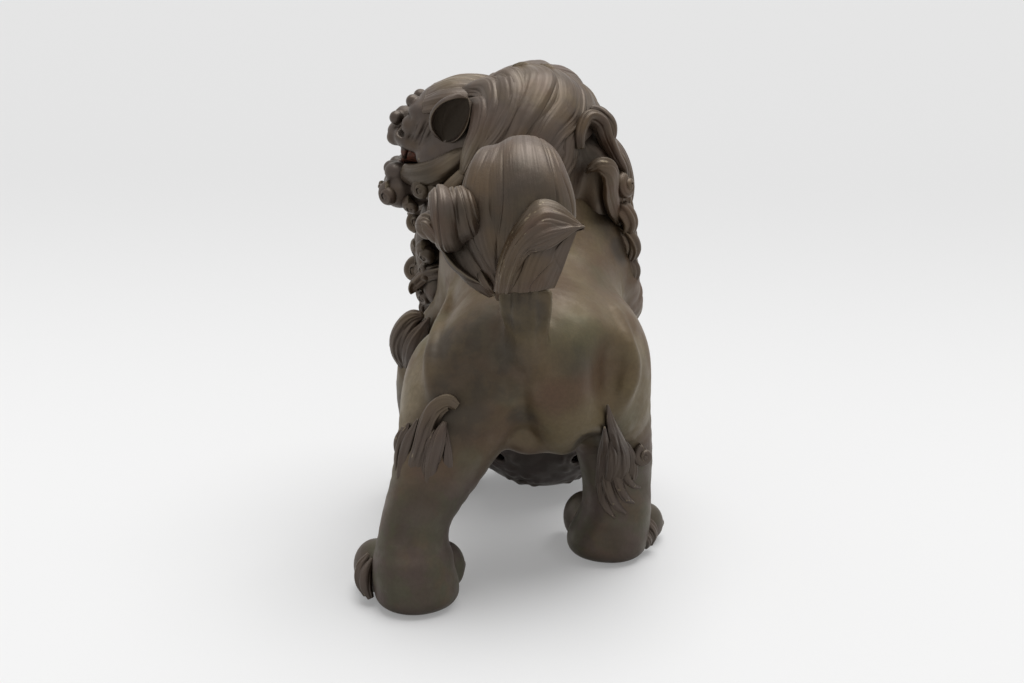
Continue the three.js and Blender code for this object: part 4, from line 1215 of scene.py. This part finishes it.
def tail():
    plume = [sweep(PLUME, around=300, steps=170, waves=(2, 1.3), lines=(6, 0.9), seed=5),
             sweep(PLUME_SHOULDER, around=220, steps=130, waves=(2, 1), lines=(6, 0.8), seed=15)]
    hair_piece("tail_plume_hair", plume, ("tail_plume",))
    curl = [sweep(shell_curl(), around=170, steps=240, waves=(3, 1.2), lines=(2.6, 0.9), seed=6),
            sweep(shell_eye(), side=(0, 0, 1), around=60, steps=40, waves=(1, 0.3), lines=(4, 0.2), seed=16)]
    for points, width, depth in CURL_WISPS:
        curl.append(sweep(tapered(points, width, depth, root=0.5, tip=0.4), around=28, steps=40,
                          lines=(1.4, 0.4)))
    hair_piece("tail_curl_hair", curl, ("tail_curl",))
    leaf = [sheet(np.array(LEAF_PANEL) + LEAF_FORWARD, LEAF_THICKNESS, across=120, steps=90, waves=(1, 0.5),
                  lines=(5, 0.6), seed=7),
            sheet(np.array(LEAF_ROLL) + LEAF_FORWARD, LEAF_THICKNESS, across=130, steps=150, waves=(1, 0.8),
                  lines=(2.2, 0.35), seed=8)]
    hair_piece("tail_leaf_hair", leaf, ("tail_leaf",))


# Flame tufts at the hocks and elbows.

# Rows at the hocks are [x, lift off the leg, z, half width, half depth]; their roots lie under its skin.
HOCK_LEFT = [
    [(36.5, -2.6, 55, 2.6, 2), (34.9, -0.8, 63, 3.4, 2.6), (32.5, 1, 70.6, 3.8, 3), (30.2, 2.5, 79, 4, 3.4),
     (26.5, 3.8, 85.8, 3.8, 3.4), (21.8, 4.2, 88.6, 3.2, 3), (18.2, 3.5, 86.5, 1.8, 1.8)],
    [(29.5, -2.6, 53, 2, 1.6), (28.6, -0.6, 61, 2.8, 2.4), (26.8, 1.2, 69, 3.2, 2.8), (24.8, 3, 76, 2.4, 2.4),
     (23.3, 3.8, 80.5, 0.9, 0.9)],
    [(22, -2.6, 58, 1.8, 1.4), (22, -0.6, 65, 2.2, 1.8), (22.4, 1.2, 72, 1.8, 1.8),
     (22.8, 2.6, 78, 0.5, 0.5)],
    [(31.5, -2.6, 54, 2, 1.6), (30.6, -0.4, 63, 2.4, 2.2), (28.8, 1.4, 72, 2, 2), (27.4, 2.4, 77, 0.5, 0.5)],
    [(41.5, -2.6, 55, 2, 1.6), (40, -0.4, 64, 2.8, 2.2), (37.8, 1.2, 72, 2.6, 2.4),
     (35, 2.4, 79.5, 0.5, 0.5)],
    [(43, -3, 57, 2, 1.4), (42.5, -1, 64, 2.4, 2), (41, 0.8, 71, 2, 2), (38.8, 1.8, 77, 0.5, 0.5)],
]
HOCK_LEFT_LUMP = [(40, 52, 54, 1.5, 1.5), (42, 53, 62, 3, 3.4), (42.2, 53, 68, 3.2, 3.6),
                  (41, 53, 74, 1.2, 1.4)]
HOCK_RIGHT = [
    [(-46, -2.2, 38, 3, 1.8), (-48, -0.2, 46, 4, 2.4), (-48.5, 1.2, 55, 3.6, 2.8), (-46.5, 2.4, 66, 3, 2.6),
     (-44.5, 3.2, 75, 2, 2), (-43, 3.6, 83, 0.5, 0.5)],
    [(-40, -2.2, 34, 2.6, 1.6), (-41, -0.2, 44, 3.2, 2.4), (-41.5, 1, 55, 2.8, 2.4), (-42, 2, 66, 1.6, 1.6),
     (-42, 2.6, 74, 0.5, 0.5)],
    [(-44, -2.2, 36, 2.4, 1.6), (-44.6, 0.4, 45, 2.6, 2.2), (-44.8, 1.8, 55, 2.4, 2.2),
     (-44.6, 2.8, 65, 0.6, 0.6)],
    [(-52, -2.2, 36, 2.4, 1.6), (-53, -0.2, 44, 2.8, 2), (-52.5, 1, 52, 2.4, 2), (-50.5, 1.8, 61, 0.5, 0.5)],
    [(-42, -1.2, 44, 2.4, 1.4), (-43.5, 0.2, 36, 2.6, 1.4), (-46.5, 0.5, 29, 2.2, 1.2),
     (-51, 0.4, 25, 0.5, 0.5)],
    [(-46, -1.2, 45, 2.2, 1.4), (-48, 0.2, 37, 2.2, 1.3), (-51, 0.5, 31.5, 1.8, 1.1),
     (-54.5, 0.4, 29, 0.5, 0.5)],
    [(-50, -1.2, 45, 2, 1.2), (-51.5, 0.2, 40, 2, 1.2), (-54, 0.5, 36.5, 1.6, 1), (-57, 0.2, 35, 0.5, 0.5)],
    [(-40, -1.8, 41, 2, 1.2), (-40.5, 0.2, 33.5, 2.2, 1.2), (-42.5, 0.5, 27.5, 1.8, 1.1),
     (-46.5, 0.4, 23, 0.5, 0.5)],
]
HOCK_RIGHT_CURL = ((-57.5, 18.5, 50.5), (-0.5, 1, 0.2), 5.4)
# Chased locks on the outermost toe of each hind foot.
TOE_HAIR = [
    [(56, 62, 20, 1, 1), (58.8, 64, 15, 2.6, 2.4), (59, 66, 9, 2.8, 2.6), (56.5, 67.5, 3.4, 1.6, 1.6)],
    [(54, 65, 19, 1, 1), (56.6, 67.5, 14, 2.4, 2.2), (56.6, 69.5, 8.5, 2.6, 2.4),
     (54.5, 70.5, 3.4, 1.4, 1.4)],
    [(-56, 8, 17, 1, 1), (-60, 6.5, 14, 2.6, 2.4), (-62.6, 5, 9, 2.6, 2.4), (-62, 4, 3, 1, 1)],
    [(-55, 11, 14, 1, 1), (-58.5, 10, 10.5, 2.4, 2.2), (-60.5, 8.5, 6.5, 2.2, 2), (-60, 7, 2.6, 0.8, 0.8)],
]
ELBOW_LEFT = [
    [(52, -44, 66, 1.5, 1.5), (53.5, -40, 76, 4.5, 3.5), (52, -36, 86, 5.5, 4.5), (47, -34, 94, 4, 3.5),
     (42.5, -33, 96, 1.5, 1.5)],
    [(51, -42, 67, 1.5, 1.5), (48.5, -36, 77, 4, 3.5), (45.5, -33, 85, 4.4, 4), (42, -32, 91, 2.5, 2.5),
     (39.5, -32, 95, 0.8, 0.8)],
    [(47, -40, 66, 1.5, 1.5), (43, -34, 75, 3.6, 3), (40, -32, 82, 2.4, 2.4), (38, -32, 87, 0.6, 0.6)],
    [(54, -43, 72, 2, 2), (56.5, -41, 79, 2.2, 2), (56, -40, 85, 0.8, 0.8)],
]
ELBOW_RIGHT = [
    [(-45, -46, 84, 3, 2), (-46, -40, 92, 6, 4), (-45, -33, 101, 5, 4), (-43, -28, 108, 1, 1)],
    [(-47, -50, 88, 3, 2), (-49, -45, 96, 4, 3), (-49, -39, 104, 1, 1)],
]


def tuft(name, table, node=None, curls=()):
    locks = []
    for k, rows in enumerate(table):
        locks.append(sweep(rows, around=60, steps=64, waves=(3, 0.6), lines=(1.2, 0.5), seed=110 + k))
    for k, curl in enumerate(curls):
        locks.append(ball_curl(*curl, 0.3, 130 + k))
    hair_piece(name, locks, (node,) if node else ())


# The ball: a hollow openwork ball, with a flower round each opening and a seam at its equator.

BALL_WALL = 3.2
# Rows of openings are (latitude, count, radius); they are mirrored below the equator.
BALL_ROWS = ((25, 6, 4.4), (52, 5, 3.6))
RIM = 1.6
RIM_HEIGHT = 0.6
RIM_WIDTH = 0.9
PETALS = 6
PETAL_OUT = 3.6
PETAL_WIDTH = 2
SEAM_DEPTH = 0.8
SEAM_WIDTH = 0.7
# How far the ground between the flowers lies inside the ball's radius.
GROUND = 0.9
PEG_HOLE = (4.6, 4.6)
PEG_LOW = (0, 0, 28)
PEG_HIGH = (0, 0, 48)
BALL_OPENINGS = [(latitude * half, 360 / count * (k + 0.5 * (half > 0)), radius)
                 for latitude, count, radius in BALL_ROWS for half in (-1, 1) for k in range(count)]


def ball_skin():
    reach = BALL_RADIUS + 3
    field = Field(BALL_AT - reach, BALL_AT + reach, 0.7)
    part, points = field.window(BALL_AT - reach, BALL_AT + reach)
    offset = points - BALL_AT.astype(np.float32)
    out = np.linalg.norm(offset, axis=-1)
    height = np.zeros_like(out)
    hole = np.full_like(out, FAR)
    for latitude, longitude, radius in BALL_OPENINGS:
        latitude, longitude = math.radians(latitude), math.radians(longitude)
        flat = math.cos(latitude)
        axis = np.array([flat * math.cos(longitude), flat * math.sin(longitude), math.sin(latitude)])
        along = offset @ axis.astype(np.float32)
        away = np.sqrt(np.maximum(out**2 - along**2, 0))
        away = np.where(along > 0, away, FAR)
        hole = np.minimum(hole, away - (radius - RIM))
        height = np.maximum(height, RIM_HEIGHT * np.exp(-(((away - radius) / RIM_WIDTH) ** 2)))
        east = np.array([-math.sin(longitude), math.cos(longitude), 0])
        spin = np.arctan2(offset @ np.cross(axis, east).astype(np.float32), offset @ east.astype(np.float32))
        petal = 0.5 + 0.5 * np.cos(PETALS * spin)
        height = np.maximum(height, petal * np.exp(-(((away - radius - PETAL_OUT) / PETAL_WIDTH) ** 2)))
    height -= SEAM_DEPTH * np.exp(-((offset[..., 2] / SEAM_WIDTH) ** 2))
    shell = np.maximum(out - (BALL_RADIUS - GROUND + height), BALL_RADIUS - BALL_WALL - out)
    field.merge(part, np.maximum(shell, -hole).astype(np.float32), 0.01)
    peg = [(*(BALL_AT + PEG_LOW), *PEG_HOLE), (*(BALL_AT + PEG_HIGH), *PEG_HOLE)]
    field.tube(peg, 0.3, pieces=2, carve=True)
    points, quads = field.mesh()
    halves = ("ball_lower_half", "ball_upper_half")
    piece("ball_shell", points, quads, BALL_PATINA, halves, "ball")


def fastenings():
    """Bare metal on the CAD's own dowels, pins, rivets and peg."""
    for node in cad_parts:
        if node.endswith(("_dowel", "_pin", "_rivet", "_peg")):
            shape = bpy.data.objects[node]
            shape.data.materials.clear()
            shape.data.materials.append(BARE_DOWEL)


body = body_skin()
head_skin()
jaw_skin()
tongue()
ear(1, "ear_left_skin", "ear_left")
ear(-1, "ear_right_skin", "ear_right")
face_hair()
forelocks()
mane_hood()
mane_locks()
side_locks("mane_right_hair", RIGHT_LOCKS, RIGHT_CURLS, "mane_right_locks", (0, 1, 0), ribbons=RIGHT_RIBBONS)
side_locks("mane_left_hair", LEFT_LOCKS, LEFT_CURLS, "mane_left_locks", (0, 1, 0))
side_locks("chest_hair", CHEST_LOCKS, (), "chest_locks", (1, 0, 0))
tail()
tuft("hock_left_hair", [on_skin(body, rows) for rows in HOCK_LEFT] + [HOCK_LEFT_LUMP], "hock_tuft_left")
tuft("hock_right_hair", [on_skin(body, rows) for rows in HOCK_RIGHT], "hock_tuft_right", [HOCK_RIGHT_CURL])
tuft("toe_hair", TOE_HAIR)
tuft("elbow_left_hair", ELBOW_LEFT, "elbow_tuft_left")
tuft("elbow_right_hair", ELBOW_RIGHT, "elbow_tuft_right")
ball_skin()
fastenings()

# The stage: a plain pale floor and soft light from above.

FLOOR_SIZE = 6.0
# Greys: the floor beside the lion and far beyond it, as it lights the lion, and its glow where it is seen.
FLOOR_NEAR = 0.6
# The far grey paints shade on the floor far beyond the lion.
FLOOR_FAR = 0.46
FLOOR_DIM = 0.3
FLOOR_GLOW = 0.22
FADE_LENGTH = 0.7
WORLD_SEEN = 0.79
WORLD_LIGHT = 0.34
LIGHT_AZIMUTH = 330
LIGHT_ELEVATION = 74
LIGHT_SOFTNESS = 60
LIGHT_STRENGTH = 2.6
VIEW_AZIMUTH = 184
VIEW_ELEVATION = 18
VIEW_DISTANCE = 1.0
VIEW_TARGET = (0.0, 0.0, 95.0)
LENS = 80.86
SENSOR = 36.0


def grey(value):
    return (value, value, value, 1)


def pale_when_seen(nodes, socket, pale, dim):
    """Feed a grey to socket: pale where it is seen, straight or by way of metal, dim where it only lights."""
    path = nodes.add("ShaderNodeLightPath", {}).outputs
    seen = nodes.larger(path["Is Camera Ray"], path["Is Glossy Ray"])
    seen = nodes.larger(seen, path["Is Transmission Ray"])
    nodes.feed(socket, nodes.mix(seen, grey(dim), pale))


def fading_away(nodes):
    """Painted shade: a grey that goes from near to far over the floor beyond the lion, as the camera sees it,
    darker far away.
    """
    place = nodes.add("ShaderNodeTexCoord", {}).outputs["Object"]
    split = nodes.add("ShaderNodeSeparateXYZ", {"Vector": place})
    return nodes.ramp(split.outputs["Y"], 0.0, -FADE_LENGTH, FLOOR_NEAR, FLOOR_FAR)


def stage():
    mesh = bpy.data.meshes.new("floor")
    corners = [(FLOOR_SIZE * x, FLOOR_SIZE * y, 0) for x, y in ((-1, -1), (1, -1), (1, 1), (-1, 1))]
    mesh.from_pydata(corners, [], [(0, 1, 2, 3)])
    floor = bpy.data.objects.new("floor", mesh)
    bpy.context.scene.collection.objects.link(floor)
    material = bpy.data.materials.new("pale_floor")
    material.use_nodes = True
    nodes = Nodes(material.node_tree)
    inputs = nodes.tree.nodes["Principled BSDF"].inputs
    inputs["Roughness"].default_value = 0.9
    inputs["Emission Strength"].default_value = 1
    pale_when_seen(nodes, inputs["Base Color"], fading_away(nodes), FLOOR_DIM)
    pale_when_seen(nodes, inputs["Emission Color"], grey(FLOOR_GLOW), 0)
    mesh.materials.append(material)
    world = bpy.data.worlds.new("studio")
    bpy.context.scene.world = world
    world.use_nodes = True
    nodes = Nodes(world.node_tree)
    pale_when_seen(nodes, nodes.tree.nodes["Background"].inputs["Color"], grey(WORLD_SEEN), WORLD_LIGHT)


def aimed(name, data, azimuth, elevation):
    """An object that looks in from a direction in degrees, and the way to it: azimuth 180 is from behind."""
    azimuth, elevation = math.radians(azimuth), math.radians(elevation)
    flat = math.cos(elevation)
    back = Vector((math.sin(azimuth) * flat, -math.cos(azimuth) * flat, math.sin(elevation)))
    made = bpy.data.objects.new(name, data)
    made.rotation_mode = "QUATERNION"
    made.rotation_quaternion = back.to_track_quat("Z", "Y")
    bpy.context.scene.collection.objects.link(made)
    return made, back


def overhead_light():
    light = bpy.data.lights.new("overhead", "SUN")
    light.angle = math.radians(LIGHT_SOFTNESS)
    light.energy = LIGHT_STRENGTH
    aimed("overhead", light, LIGHT_AZIMUTH, LIGHT_ELEVATION)


def camera():
    """The photograph's view: from behind, a little above."""
    data = bpy.data.cameras.new("camera")
    data.lens = LENS
    data.sensor_width = SENSOR
    made, back = aimed("camera", data, VIEW_AZIMUTH, VIEW_ELEVATION)
    made.location = Vector((np.array(VIEW_TARGET) + ORIGIN_MOVE) * MM) + back * VIEW_DISTANCE
    bpy.context.scene.camera = made


stage()
overhead_light()
camera()
bpy.context.scene.view_settings.view_transform = "Standard"
